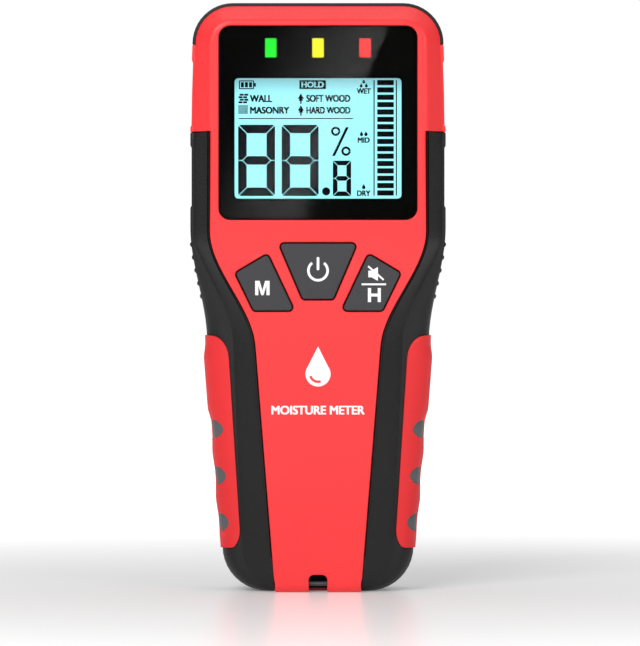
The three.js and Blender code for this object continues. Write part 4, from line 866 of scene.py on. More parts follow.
class MeterColours(bpy.types.PropertyGroup):
    red: bpy.props.FloatVectorProperty(
        name="Front", description="Colour of the front moulding", subtype="COLOR", size=3,
        min=0.0, max=1.0, default=(0.86, 0.032, 0.036))
    soft_red: bpy.props.FloatVectorProperty(
        name="Grip pads", description="Colour of the soft pads on the grips", subtype="COLOR", size=3,
        min=0.0, max=1.0, default=(0.72, 0.022, 0.026))
    dark: bpy.props.FloatVectorProperty(
        name="Side grips", description="Colour of the soft dark grips", subtype="COLOR", size=3,
        min=0.0, max=1.0, default=(0.01, 0.01, 0.01))
    dark_shell: bpy.props.FloatVectorProperty(
        name="Rear", description="Colour of the rear moulding and its door", subtype="COLOR", size=3,
        min=0.0, max=1.0, default=(0.014, 0.014, 0.015))
    key: bpy.props.FloatVectorProperty(
        name="Keys", description="Colour of the rubber keys", subtype="COLOR", size=3,
        min=0.0, max=1.0, default=(0.015, 0.015, 0.016))
    window: bpy.props.FloatVectorProperty(
        name="Window print", description="Colour of the print behind the window", subtype="COLOR", size=3,
        min=0.0, max=1.0, default=(0.001, 0.001, 0.001))
    display: bpy.props.FloatVectorProperty(
        name="Display light", description="Colour of the lit display", subtype="COLOR", size=3,
        min=0.0, max=1.0, default=(0.34, 0.93, 1.0))


class MeterStudio(bpy.types.PropertyGroup):
    camera_distance: bpy.props.FloatProperty(
        name="Camera distance", description="From the camera to the meter's middle",
        default=1.3, min=0.4, max=3.0, unit="LENGTH")
    camera_height: bpy.props.FloatProperty(
        name="Camera height", description="Height of the camera over the floor",
        default=0.084, min=0.0, max=1.0, unit="LENGTH")
    lens: bpy.props.FloatProperty(
        name="Lens", description="Focal length", default=264.6, min=20.0, max=400.0, unit="CAMERA")
    room_light: bpy.props.FloatProperty(
        name="Room light", description="Strength of the light from all round", default=0.42, min=0.0, max=3.0)


# ---------------------------------------------------------------- front moulding
def quarter(start, corner, end, count=4):
    """Points of a smooth turn past a corner, from start to end."""
    return [start.lerp(corner, share).lerp(corner.lerp(end, share), share)
            for share in steps(0.0, 1.0, count)]


FLANGE = 2.1  # how far the face's edge turns inwards below the wings
HANDLE_SOFTNESS = 0.4  # the soft edge there
BEVEL_SHARES = (0.35, 0.7)
FLANK_SHARES = (0.3, 0.65, 1.0)
FACE_SHARES = (0.0, 0.5)


def plain_row(centre, edge_x, inward, flange, fillet):
    """Half a section of the front moulding below the wings: face, soft edge and flange."""
    edge = Vector((edge_x, centre.y, centre.z))
    start = Vector((edge_x - fillet, centre.y, centre.z))
    row = [centre.lerp(start, share) for share in FACE_SHARES]
    row += quarter(start, edge, edge + inward * fillet)
    fold = len(BEVEL_SHARES) + 5 + len(FLANK_SHARES)
    row += [edge + inward * mix(fillet, flange, (i + 1) / fold) for i in range(fold)]
    return row


def head_row(s, fillet, with_flank):
    """Half a section of the head: face, soft edge, bevel, then the flank or a flange."""
    edge = front_point(s, 0.0)
    centre = Vector((0.0, edge.y, min(edge.z, FAN_HEIGHT)))
    bevel_foot = front_point(s, 1.0)
    bevel_length = (bevel_foot - edge).length
    start = edge + (centre - edge).normalized() * fillet
    row = [centre.lerp(start, share) for share in FACE_SHARES]
    row += quarter(start, edge, edge.lerp(bevel_foot, fillet / bevel_length))
    row += [edge.lerp(bevel_foot, share) for share in BEVEL_SHARES]
    row.append(bevel_foot)
    if with_flank:
        z = edge.z
        sunk = Vector((-scoop_depth(z, *WING_SCOOP), 0.0, 0.0))
        corner = front_point(s, 2.0)
        corner.y = bevel_foot.y + 0.15
        flank = [Vector((corner.x, mix(corner.y + 0.4, FRONT_SHELL_REAR, share), z)) + sunk
                 for share in FLANK_SHARES]
        corner += sunk
        row += quarter(corner - Vector((0.35, 0.1, 0.0)), corner, corner + Vector((0.0, 0.4, 0.0)), 3)
        row += flank
    else:
        inner = bevel_foot + (centre - edge).normalized() * 0.1
        row += [inner + Vector((0.0, 0.4 + 0.25 * i, 0.0)) for i in range(4 + len(FLANK_SHARES))]
    return row


def front_shell_rows(fillet):
    rows = []
    half = face_half(0.0) - JOINT
    for y in steps(FRONT_SHELL_REAR, HANDLE_FACE + FOOT_FILLET, 3)[:-1]:
        rows.append(plain_row(Vector((0.0, y, 0.0)), half, Vector((0.0, 0.0, 1.0)), FLANGE,
                              HANDLE_SOFTNESS))
    for turn in steps(0.0, math.pi / 2, 6):
        inward = Vector((0.0, math.sin(turn), math.cos(turn)))
        centre = Vector((0.0, HANDLE_FACE + FOOT_FILLET, FOOT_FILLET)) - inward * FOOT_FILLET
        rows.append(plain_row(centre, half, inward, FLANGE, HANDLE_SOFTNESS))
    heights = [4.0, 6.0, 9.0, 12.0, 17.0] + steps(24.0, 64.0, 4) + steps(66.5, 99.5, 22)
    heights += [103.0, 110.0, 118.0, WING_BOTTOM + JOINT]
    for z in heights:
        centre = Vector((0.0, face_depth(z), z))
        rows.append(plain_row(centre, face_half(z) - JOINT, Vector((0.0, 1.0, 0.0)), FLANGE,
                              mix(HANDLE_SOFTNESS, fillet, ease(z, 90.0, WING_BOTTOM))))
    wing = [WING_BOTTOM + JOINT + 0.08, 125.4, 126.1, 126.4, 126.8, 127.2] + steps(130.0, 141.0, 3)
    wing += [143.4, 143.8, 144.2, 144.6, 146.0, 147.6, WING_TOP - JOINT - 0.08]
    rows += [head_row(along(z), fillet, True) for z in wing]
    rows += [head_row(s, fillet, False)
             for s in [along(WING_TOP - JOINT), 3.0, *steps(3.0, 4.0, 9)[1:], *steps(4.0, 5.0, 4)[1:]]]
    return rows


KEY_SHAPES = {
    "power": [(-4.1, 79.6), (4.1, 79.6), (10.5, 94.6), (-10.5, 94.6)],
    "mode": [(-17.4, 76.5), (-6.5, 76.5), (-13.7, 91.7), (-22.3, 86.6)],
    "hold": [(6.5, 76.5), (17.4, 76.5), (22.3, 86.6), (13.7, 91.7)],
}
KEY_CORNER, KEY_GAP, KEY_ROUND = 0.9, 0.35, 0.5
KEY_REAR = -9.7
WINDOW_WIDTH, WINDOW_HEIGHT, WINDOW_MIDDLE, WINDOW_CORNER = 53.4, 52.2, 127.3, 3.0
WINDOW = rectangle(WINDOW_WIDTH, WINDOW_HEIGHT, 0.0, WINDOW_MIDDLE)
WINDOW_FRONT, WINDOW_REAR = -15.75, -14.25
NOTCH = [(-2.5, -6.0), (2.5, -6.0), (2.5, 4.8), (-2.5, 4.8)]
NOTCH_REAR = -4.5


class METER_OT_front_shell(bpy.types.Operator):
    """Red front moulding with its window seat, key holes and strap notch"""
    bl_idname = "meter.front_shell"
    bl_label = "Front moulding"

    def execute(self, context):
        sizes = context.scene.meter_sizes
        bm = bmesh.new()
        sweep(bm, front_shell_rows(sizes.edge_fillet / MM))
        mirrored(bm)
        thicken(bm, sizes.shell_wall / MM)
        block(bm, (-4.0, HANDLE_FACE + 0.8, 0.7), (4.0, NOTCH_REAR + 1.2, 6.3))
        cutter = bmesh.new()
        funnel(cutter, on_face, lambda grow: rounded(WINDOW, WINDOW_CORNER, 0.2 + grow, 8), 0.35, 4.0)
        for corners in KEY_SHAPES.values():
            funnel(cutter, on_face, lambda grow, c=corners: rounded(c, KEY_CORNER, KEY_GAP + grow), 0.3, 4.0)
        funnel(cutter, lambda x, z, lift: Vector((x, HANDLE_FACE - lift, z)),
               lambda grow: rounded(NOTCH, 1.4, grow), 0.35, NOTCH_REAR - HANDLE_FACE)
        bm = carve(bm, cutter, overlapping=True)
        # Painted shade: the faces inside the strap notch are the red moulding but get the black finish,
        # standing for the shadow in the recess.
        for face in bm.faces:  # the notch's inside is dark
            middle = face.calc_center_median()
            if abs(middle.x) < 2.62 and middle.y > HANDLE_FACE + 0.4 and 0.3 < middle.z < 5.1:
                face.material_index = 1
        piece("red_front", bm, ["red_plastic", "black_plastic"], replaces=["front_shell"])
        return {"FINISHED"}


class METER_OT_top_bumper(bpy.types.Operator):
    """Dark soft rim round the top of the head"""
    bl_idname = "meter.top_bumper"
    bl_label = "Top rim"

    def execute(self, context):
        rows = []
        for s in [along(WING_TOP + JOINT), 3.0, *steps(3.0, 4.0, 12)[1:], *steps(4.0, 5.0, 4)[1:]]:
            foot, corner = front_point(s, 1.0), front_point(s, 2.0)
            outward = corner - foot
            outward.y = 0.0
            outward.normalize()
            corner.y = foot.y + 0.15
            start = foot + Vector((0.0, 0.1, 0.0)) + outward * 0.05
            row = [start] + quarter(corner - outward * 0.45, corner, corner + Vector((0.0, 0.5, 0.0)), 4)
            row += [Vector((corner.x, mix(corner.y + 0.5, FRONT_SHELL_REAR, share), corner.z))
                    for share in (0.4, 0.96, 1.0)]
            rows.append(row)
        bm = bmesh.new()
        sweep(bm, rows)
        mirrored(bm)
        thicken(bm, RIM_WALL)
        soften(bm, 0.15, 60.0)
        piece("dark_top_rim", bm, ["dark_rubber"], replaces=["top_bumper"])
        return {"FINISHED"}


# ---------------------------------------------------------------- soft grips
RIBS = [94.4 - 3.53 * i for i in range(5)]


def rib_lift(z, t):
    """Ribs below the head, on the flank only."""
    for rib in RIBS:
        off = abs(z - rib)
        if off < 0.67:
            return (math.sqrt(0.75 ** 2 - off ** 2) - 0.33) * ease(t, 1.75, 2.05)
    return 0.0


def grip_point(s, t, z, sunk=0.0):
    """A point of the grip, drawn in where the finger scoop is."""
    point = front_point(s, t, rib_lift(z, t) + sunk)
    point.x -= scoop_depth(z, *GRIP_SCOOP) * math.sin(min(max(t - 1.0, 0.0), 1.0) * math.pi / 2)
    return point


class METER_OT_side_grips(bpy.types.Operator):
    """Dark soft grips on both flanks, with ribs under the head"""
    bl_idname = "meter.side_grips"
    bl_label = "Side grips"

    def execute(self, context):
        heights = [16.0, 20.0, 26.0, 34.0, 42.0, 50.0, 58.0, 64.0, 68.0, 71.0, 74.0, 76.5]
        for rib in reversed(RIBS):
            heights += [rib - 1.4, rib - 0.72, rib - 0.6, rib - 0.35, rib, rib + 0.35, rib + 0.6, rib + 0.72]
        heights += [96.0, 97.5, 99.0, 101.0, 103.0, 104.2, 104.5, 104.9, 105.2, 108.0, 112.0, 116.0, 119.0,
                    120.4, 120.8, 121.1, 121.4, 122.6, WING_BOTTOM - JOINT]
        stations = [0.0, 0.3, 0.6, *steps(1.0, 2.0, 10), *map(along, heights)]
        across = [0.03, 0.25, 0.5, 0.75, 0.95, 1.0, 1.06, *steps(1.15, 2.0, 7), 2.1, 2.4, 2.7, 2.97]
        ends = [(s, 0.0) for s in stations] + [(stations[-1], -0.12), (stations[-1], -1.0)]
        ends[-3] = (along(WING_BOTTOM - JOINT - 0.15), 0.0)
        slope = Vector((5.3, 0.0, 67.0)).normalized()
        for side, name in ((1, "side_grip_right"), (-1, "side_grip_left")):
            bm = bmesh.new()
            rails = []
            for s, sunk in ends:
                z = mix(FOOT_CORNER, CASE_HEIGHT - TOP_CORNER, s - 2.0) if s > 2.0 else 0.0
                row = [grip_point(s, t, z, sunk) for t in across]
                row = [row[0] + Vector((-0.02, depth, 0.0)) for depth in (1.0, 0.2)] + row
                row += [row[-1] + Vector((-inset, 0.06, 0.0)) for inset in (0.1, 1.0)]
                rails.append(row)
            sweep(bm, rails)
            bmesh.ops.bisect_plane(
                bm, geom=bm.verts[:] + bm.edges[:] + bm.faces[:], dist=1e-5, clear_inner=True,
                plane_co=(face_half(0.0) + 0.02, 0.0, 0.0), plane_no=(slope.z, 0.0, -slope.x))
            tidy_normals(bm)
            face_towards(bm, (1.0, 0.0, 0.0))
            thicken(bm, GRIP_WALL)
            flip_side(bm, side)
            piece("soft_" + name, bm, ["dark_rubber"], replaces=[name], sharp=50.0)
        return {"FINISHED"}


PAD_BOTTOM, PAD_TOP, PAD_CORNER = 10.9, 69.7, 6.0
PAD_WINDOWS = (18.8, 31.5, 44.2)
WINDOW_REACH = 2.7  # half the height of the rubber behind a window


def pad_inner(z):
    """The x of the pad's inner edge, with its corners rounded."""
    x = mix(20.9, 24.6, (z - PAD_BOTTOM) / (PAD_TOP - PAD_BOTTOM))
    for end in (z - PAD_BOTTOM, PAD_TOP - z):
        if end < PAD_CORNER:
            x += 4.5 * (1.0 - math.sqrt(max(1.0 - (1.0 - end / PAD_CORNER) ** 2, 0.0)))
    return x


def pad_across(z, x):
    """The t at which the shoulder reaches an x."""
    out = (x - bevel_half(z)) / (flank_half(z) - bevel_half(z))
    return 1.0 + math.asin(min(max(out, 0.0), 1.0)) / (math.pi / 2)


def pad_height(z, t, proud):
    """The pad's thickness over the grip: swells between its windows and above them."""
    swell = 0.0
    for middle in (25.15, 37.85):
        swell += math.exp(-((z - middle) / 2.6) ** 2)
    swell += 2.3 * (ease(z, 46.5, 50.0) - ease(z, 63.5, 67.5))
    return proud + 0.28 * swell * ease(t, 1.3, 1.9)


class METER_OT_grip_pads(bpy.types.Operator):
    """Red soft pads on the grips, and the grey rubber that shows in their windows"""
    bl_idname = "meter.grip_pads"
    bl_label = "Grip pads"

    def execute(self, context):
        proud = context.scene.meter_sizes.pad_proud / MM
        rounds = [PAD_CORNER * (1.0 - math.cos(turn)) for turn in steps(0.0, math.pi / 2, 7)]
        heights = [PAD_BOTTOM + rise for rise in rounds] + steps(18.5, 62.5, 30)
        heights += [PAD_TOP - rise for rise in reversed(rounds)]
        shares = [0.0, 0.04, 0.1, 0.18, 0.28, 0.4, 0.52, 0.64, 0.76, 0.88, 0.97, 1.0]
        for side, end in ((1, "right"), (-1, "left")):
            bm = bmesh.new()
            rails = []
            for z in heights:
                start = pad_across(z, pad_inner(z))
                rails.append([front_point(along(z), mix(start, 3.0, share),
                                          pad_height(z, mix(start, 3.0, share), proud)) for share in shares])
            sweep(bm, rails)
            tidy_normals(bm)
            face_towards(bm, (1.0, 0.0, 0.0))
            thicken(bm, PAD_WALL)
            soften(bm, 0.32, 60.0, 3)
            cutter = bmesh.new()
            for z in PAD_WINDOWS:
                funnel(cutter, lambda y, h, lift: on_flank(y, h, lift + proud),
                       lambda grow, z=z: rounded(rectangle(9.0, 4.8, -3.5, z), 2.38, grow, 7), 0.35, 2.6, 4.0)
            bm = carve(bm, cutter)
            flip_side(bm, side)
            piece("soft_pad_" + end, bm, ["red_rubber"], replaces=["grip_pad_" + end],
                  sharp=45.0)
            bm = bmesh.new()
            for z in PAD_WINDOWS:
                rows = []
                for height in steps(z - WINDOW_REACH, z + WINDOW_REACH, 6):
                    crown = 0.22 * (1.0 - ((height - z) / WINDOW_REACH) ** 2)
                    rows.append([front_point(along(height), flank_across(y, height), 0.03 + crown)
                                 for y in steps(-8.5, 1.4, 9)])
                sweep(bm, rows)
            tidy_normals(bm)
            thicken(bm, WINDOW_RUBBER_WALL)
            flip_side(bm, side)
            bmesh.ops.recalc_face_normals(bm, faces=bm.faces)
            piece("window_rubber_" + end, bm, ["grey_rubber"], replaces=["pad_insert_" + end])
        return {"FINISHED"}


# ---------------------------------------------------------------- rear moulding
SENSOR, SENSOR_CORNER = rectangle(50.0, 46.0, 0.0, 127.0), 7.0
SENSOR_EDGE, SENSOR_FACE, SENSOR_GROOVE = 15.6, 16.5, 16.38  # depths
SCREWS = {
    "case_screw_upper_left": (-24.5, 149.0), "case_screw_upper_right": (24.5, 149.0),
    "case_screw_lower_left": (-18.9, 18.0), "case_screw_lower_right": (18.9, 18.0),
}
BOSS_RADIUS, RECESS_RADIUS = 3.4, 2.7
DOOR_HALF, DOOR_FOOT, DOOR_TOP = 15.0, 9.35, 67.95
SOUND_MIDDLE, SOUND_RING, SOUND_RADIUS = 86.0, 2.6, 0.6
SOUND_HOLES = [(0.0, SOUND_MIDDLE)] + [
    (SOUND_RING * math.cos(math.radians(turn)), SOUND_MIDDLE + SOUND_RING * math.sin(math.radians(turn)))
    for turn in range(0, 360, 60)]
# The tongue's section, as insets from the outline and depths.
TONGUE = ((1.7, 4.6), (1.7, 1.9), (2.3, 1.9), (2.3, 4.6))
# Low and high corners: the bay's walls, and the blocks behind the door's upper and lower edges.
BAY_BLOCKS = (((-16.3, -7.4, 8.0), (16.3, 13.6, 65.95)), ((-16.5, 9.6, 64.0), (16.5, 14.3, 69.45)),
              ((-17.6, 11.6, 8.85), (17.6, 14.2, 12.05)))
# The same for what is cut out of them: the battery's room and the latch's.
BAY_HOLLOWS = (((-14.0, -6.2, 9.2), (14.0, 14.4, 64.75)), ((-7.0, 11.4, 61.75), (7.0, 14.4, 67.95)))


class METER_OT_rear_shell(bpy.types.Operator):
    """Dark rear moulding with the battery bay, sensing-pad seat, screw recesses and sound holes"""
    bl_idname = "meter.rear_shell"
    bl_label = "Rear moulding"

    def execute(self, context):
        stations = [0.0, 0.5, *steps(1.0, 2.0, 8), *map(along, [20.0, 40.0, 60.0]),
                    *map(along, steps(66.0, 100.0, 14)), *map(along, [115.0, 128.0, 136.0, 143.0]),
                    *steps(3.0, 4.0, 9), 4.5, 5.0]
        bm = bmesh.new()
        sweep(bm, [[rear_point(s, t) for s in stations] for t in (0.0, 0.05, 0.5, *steps(1.0, 2.0, 6))])
        mirrored(bm)
        back = [edge for edge in bm.edges
                if edge.is_boundary and all(vert.co.y > REAR - 0.01 for vert in edge.verts)]
        bmesh.ops.edgeloop_fill(bm, edges=back)
        tidy_normals(bm)
        face_towards(bm, (0.0, 1.0, 0.0))
        thicken(bm, REAR_WALL)
        # A tongue inside the parting line, which closes the gap between the mouldings to light.
        lip = bmesh.new()
        sweep(lip, [[outline_point(s, lambda z: flank_half(z) - inset, lambda z: y, inset, inset)
                     for inset, y in TONGUE] for s in stations], closed=True)
        mirrored(lip)
        join(bm, lip)
        for low, high in BAY_BLOCKS:
            block(bm, low, high)
        for x, z in SCREWS.values():
            rod(bm, (x, REAR_SHELL_FRONT, z), (x, 14.2, z), BOSS_RADIUS)
        cutter = bmesh.new()
        for low, high in BAY_HOLLOWS:
            block(cutter, low, high)
        door = rectangle(2 * DOOR_HALF, DOOR_TOP - DOOR_FOOT, 0.0, (DOOR_TOP + DOOR_FOOT) / 2)
        funnel(cutter, on_back, lambda grow: rounded(door, 0.4, 0.3 + grow, 3), 0.25, 2.5)
        for x, z in SCREWS.values():
            funnel(cutter, on_back, lambda grow, x=x, z=z: circle(RECESS_RADIUS + grow, x, z), 0.3, 8.4)
        tool = bmesh.new()
        funnel(tool, on_back, lambda grow: rounded(SENSOR, SENSOR_CORNER, 0.25 + grow, 8), 0.3, 0.8)
        for x, z in SOUND_HOLES:
            funnel(tool, on_back, lambda grow, x=x, z=z: circle(SOUND_RADIUS + grow, x, z, 14), 0.15, 3.0)
        bm = carve(bm, cutter, overlapping=True)
        bm = carve(bm, tool)
        piece("dark_rear", bm, ["dark_plastic"], replaces=["rear_shell"])
        return {"FINISHED"}


class METER_OT_battery_door(bpy.types.Operator):
    """Battery door with its barrel hinge, and the latch with its thumb ridges"""
    bl_idname = "meter.battery_door"
    bl_label = "Battery door"

    def execute(self, context):
        bm = from_node("battery_door")
        soften(bm, 0.3, 60.0, 3, keep=lambda edge: all(vert.co.z > 12.0 for vert in edge.verts))
        cutter = bmesh.new()
        for i in range(5):  # finger grooves below the latch
            z = 50.0 - 2.2 * i
            rod(cutter, (-7.0 + 0.6 * i, REAR + 0.35, z), (7.0 - 0.6 * i, REAR + 0.35, z), 0.7, 16)
        bm = carve(bm, cutter)
        piece("rear_door", bm, ["door_plastic"], body="battery_door", replaces=["battery_door"])
        bm = bmesh.new()
        block(bm, (-6.0, 13.6, 57.75), (6.0, REAR, 67.85))
        soften(bm, 0.25, 60.0, 3)
        for z in (63.15, 65.35):
            rod(bm, (-4.5, REAR - 0.05, z), (4.5, REAR - 0.05, z), 0.55, 20)
        piece("door_tongue", bm, ["dark_plastic"], body="door_latch", replaces=["door_latch"])
        return {"FINISHED"}


class METER_OT_sensing_pad(bpy.types.Operator):
    """Smooth sensing pad on the back, with a rounded edge, a flat face and a shallow groove for its target
    ring
    """
    bl_idname = "meter.sensing_pad"
    bl_label = "Sensing pad"

    def execute(self, context):
        def ring(grow, y):
            return [Vector((x, y, z)) for x, z in rounded(SENSOR, SENSOR_CORNER, grow, 9)]
        rails = [ring(-0.2, 14.25), ring(0.0, 14.3), ring(0.0, SENSOR_EDGE)]
        rails += [ring(-0.9 * (1.0 - math.cos(turn)), SENSOR_EDGE + 0.9 * math.sin(turn))
                  for turn in steps(0.0, math.pi / 2, 5)[1:]]
        rails += [ring(-2.2, SENSOR_FACE), ring(-2.5, SENSOR_GROOVE), ring(-2.9, SENSOR_GROOVE),
                  ring(-3.2, SENSOR_FACE), ring(-5.0, SENSOR_FACE)]
        bm = bmesh.new()
        tube(bm, rails)
        tidy_normals(bm)
        piece("sensing_face", bm, ["pad_plastic"], replaces=["sensor_pad"], sharp=60.0)
        return {"FINISHED"}


# ---------------------------------------------------------------- window and display
DISPLAY_WIDTH, DISPLAY_HEIGHT, DISPLAY_MIDDLE = 45.2, 32.6, 123.1
DISPLAY_FRONT = -11.9
LAMPS = {"green": -12.75, "yellow": 0.0, "red": 12.75}
LAMP_HEIGHT = 147.6


class METER_OT_display_window(bpy.types.Operator):
    """Clear pane, and the black print behind it with openings for display and lamps"""
    bl_idname = "meter.display_window"
    bl_label = "Display window"

    def execute(self, context):
        def ring(grow, y):
            return [Vector((x, y, z)) for x, z in rounded(WINDOW, WINDOW_CORNER, grow, 10)]
        bm = bmesh.new()
        rails = [ring(-0.2, WINDOW_REAR + 0.02), ring(-0.02, WINDOW_REAR - 0.1)]
        rails.append(ring(-0.02, WINDOW_FRONT + 0.25))
        rails += [ring(-0.02 - 0.25 * (1.0 - math.cos(turn)), WINDOW_FRONT + 0.25 * (1.0 - math.sin(turn)))
                  for turn in steps(0.0, math.pi / 2, 4)[1:]]
        tube(bm, rails)
        tidy_normals(bm)
        piece("clear_window", bm, ["clear_acrylic"], replaces=["display_window"],
              sharp=30.0)
        bm = bmesh.new()
        sheet = rectangle(WINDOW_WIDTH - 0.1, WINDOW_HEIGHT - 0.1, 0.0, WINDOW_MIDDLE)
        slab(bm, rounded(sheet, WINDOW_CORNER, 0.0, 8), WINDOW_REAR + 0.03, WINDOW_REAR + 0.4)
        cutter = bmesh.new()
        opening = rectangle(DISPLAY_WIDTH, DISPLAY_HEIGHT, 0.0, DISPLAY_MIDDLE)
        slab(cutter, rounded(opening, 1.1, 0.0, 5), -16.0, -12.0)
        for x in LAMPS.values():
            slab(cutter, rounded(rectangle(3.2, 5.2, x, LAMP_HEIGHT), 0.15, 0.0, 2), -16.0, -12.0)
        bm = carve(bm, cutter)
        piece("window_mask", bm, ["window_print"], replaces=["window_tape"])
        return {"FINISHED"}


def digit_segments(width, height, thick, x, z):
    """Corners of the seven bars of a figure whose lower left corner is at x, z."""
    half, t = height / 2, thick
    bars = [
        [(0, height), (t, height - t), (width - t, height - t), (width, height)],
        [(0, 0), (width, 0), (width - t, t), (t, t)],
        [(0, 0), (t, t), (t, half - t / 2), (t / 2, half), (0, half)],
        [(0, half), (t / 2, half), (t, half + t / 2), (t, height - t), (0, height)],
        [(width, 0), (width, half), (width - t / 2, half), (width - t, half - t / 2), (width - t, t)],
        [(width, half), (width, height), (width - t, height - t), (width - t, half + t / 2),
         (width - t / 2, half)],
        [(t / 2, half), (t, half - t / 2), (width - t, half - t / 2), (width - t / 2, half),
         (width - t, half + t / 2), (t, half + t / 2)],
    ]
    return [[(x + px, z + pz) for px, pz in bar] for bar in bars]


def anticlockwise(corners):
    area = sum(a[0] * b[1] - b[0] * a[1] for a, b in zip(corners, corners[1:] + corners[:1]))
    return corners if area > 0 else corners[::-1]


class METER_OT_display_artwork(bpy.types.Operator):
    """Lit display with its figures, level bar, material names and level names"""
    bl_idname = "meter.display_artwork"
    bl_label = "Display"

    def execute(self, context):
        bm = from_node("lcd_panel")
        soften(bm, 0.12, 60.0)
        piece("lit_display", bm, ["display_glow"], replaces=["lcd_panel"])
        depth = DISPLAY_FRONT - 0.02
        ink, clear = bmesh.new(), bmesh.new()
        mid = DISPLAY_MIDDLE

        def mark(outline, mesh=ink):
            slab(mesh, outline, depth - 0.02, depth)

        def bar(x, z, width, height):
            mark(rounded(rectangle(width, height, x, mid + z), 0.05, 0.0, 2))

        def text(words, width, height, x, z, bold=0.12, mesh=ink, front=depth):
            lettering(mesh, words, width, height, x, mid + z, front - 0.01, 0.02, bold)

        def drop(x, z, size):
            points = [Vector((x, mid + z + size))]
            centre, radius = mid + z - 0.25 * size, 0.62 * size
            points += [Vector((x + radius * math.sin(turn), centre - radius * math.cos(turn)))
                       for turn in steps(-2.2, 2.2, 12)]
            mark(points)

        # Battery state and the hold sign
        for z in (15.65, 13.55):
            bar(-19.4, z, 3.9, 0.28)
        for x, width, height in ((-21.3, 0.28, 2.2), (-17.5, 0.28, 2.2), (-17.1, 0.5, 1.0),
                                 (-20.5, 0.8, 1.4), (-19.4, 0.8, 1.4), (-18.3, 0.8, 1.4)):
            bar(x, 14.6, width, height)
        bar(-1.45, 14.65, 7.2, 2.4)
        text("HOLD", 6.1, 1.6, -1.45, 14.65, 0.16, clear, depth - 0.03)
        # Materials: brick wall, masonry hatch, trees
        for row in range(4):
            for column in (0, 1):
                bar(-21.0 + 1.25 * column + 0.3 * (row % 2), 9.85 + 0.68 * row, 1.1, 0.52)
        text("WALL", 6.1, 1.95, -15.45, 10.85, 0.24)
        for i in range(9):
            bar(-21.5 + 0.3 * i, 7.9, 0.12, 2.4)
            if i < 8:
                bar(-20.3, 6.8 + 0.3 * i, 2.55, 0.1)
        text("MASONRY", 10.7, 1.9, -13.1, 7.7, 0.24)
        for z in (11.0, 7.8):
            mark(anticlockwise([(-5.5, mid + z - 0.25), (-4.65, mid + z + 1.3), (-3.8, mid + z - 0.25)]))
            mark(anticlockwise([(-5.3, mid + z - 0.75), (-4.65, mid + z + 0.4), (-4.0, mid + z - 0.75)]))
            bar(-4.65, z - 0.5, 0.42, 2.1)
        text("SOFT WOOD", 12.0, 1.95, 2.8, 10.9, 0.24)
        text("HARD WOOD", 12.0, 1.9, 2.8, 7.7, 0.24)
        bar(-6.0, 5.45, 31.0, 0.28)
        # Level names with drops
        for x, z in ((11.7, 14.4), (13.1, 14.4), (12.4, 15.5)):
            drop(x, z, 0.62)
        text("WET", 3.8, 1.5, 12.4, 12.9, 0.2)
        for x in (11.8, 13.0):
            drop(x, 1.3, 0.72)
        text("MID", 3.3, 1.45, 12.4, -0.4, 0.2)
        drop(12.4, -13.05, 0.78)
        text("DRY", 3.7, 1.5, 12.4, -14.8, 0.2)
        # Level bar
        for x in (15.2, 21.25):
            bar(x, 0.2, 0.32, 31.3)
        for i in range(16):
            bar(18.3, 15.2 - 1.995 * i, 4.5, 1.42)
        # Figures
        for width, height, thick, x, z, gap in (
                (10.2, 19.5, 2.5, -21.75, -15.65, 0.1), (10.2, 19.5, 2.5, -9.95, -15.65, 0.1),
                (5.1, 9.75, 1.4, 3.95, -15.65, 0.07)):
            bars, rounding = bmesh.new(), bmesh.new()
            for corners in digit_segments(width, height, thick, x, mid + z):
                mark(rounded(anticlockwise(corners), 0.05, -gap, 2), bars)
            outer = rectangle(width, height, x + width / 2, mid + z + height / 2)
            slab(rounding, rounded(outer, 0.12 * width, 0.0, 6), depth - 0.1, depth + 0.1)
            join(ink, carve(bars, rounding, operation="INTERSECT"))
        mark(circle(1.1, 2.2, mid - 14.3))
        for x, z in ((4.8, 2.0), (7.6, -3.4)):
            mark(arc_band(0.66, 1.28, 0.0, 357.0, x, mid + z))
        mark(anticlockwise([(3.8, mid - 4.7), (4.6, mid - 4.7), (8.35, mid + 3.1), (7.55, mid + 3.1)]))
        for name, mesh, material in (("display_figures", ink, "display_ink"),
                                     ("display_sign", clear, "display_glow")):
            tidy_normals(mesh)
            piece(name, mesh, [material], weighted=False)
        return {"FINISHED"}


class METER_OT_lamps(bpy.types.Operator):
    """Green, yellow and red level lamps"""
    bl_idname = "meter.lamps"
    bl_label = "Level lamps"

    def execute(self, context):
        for name, x in LAMPS.items():
            bm = bmesh.new()
            block(bm, (x - 1.6, -14.15, LAMP_HEIGHT - 2.7), (x + 1.6, -7.35, LAMP_HEIGHT + 2.7))
            soften(bm, 0.18, 60.0)
            piece("lamp_" + name, bm, ["lamp_" + name], replaces=["light_pipe_" + name])
        return {"FINISHED"}


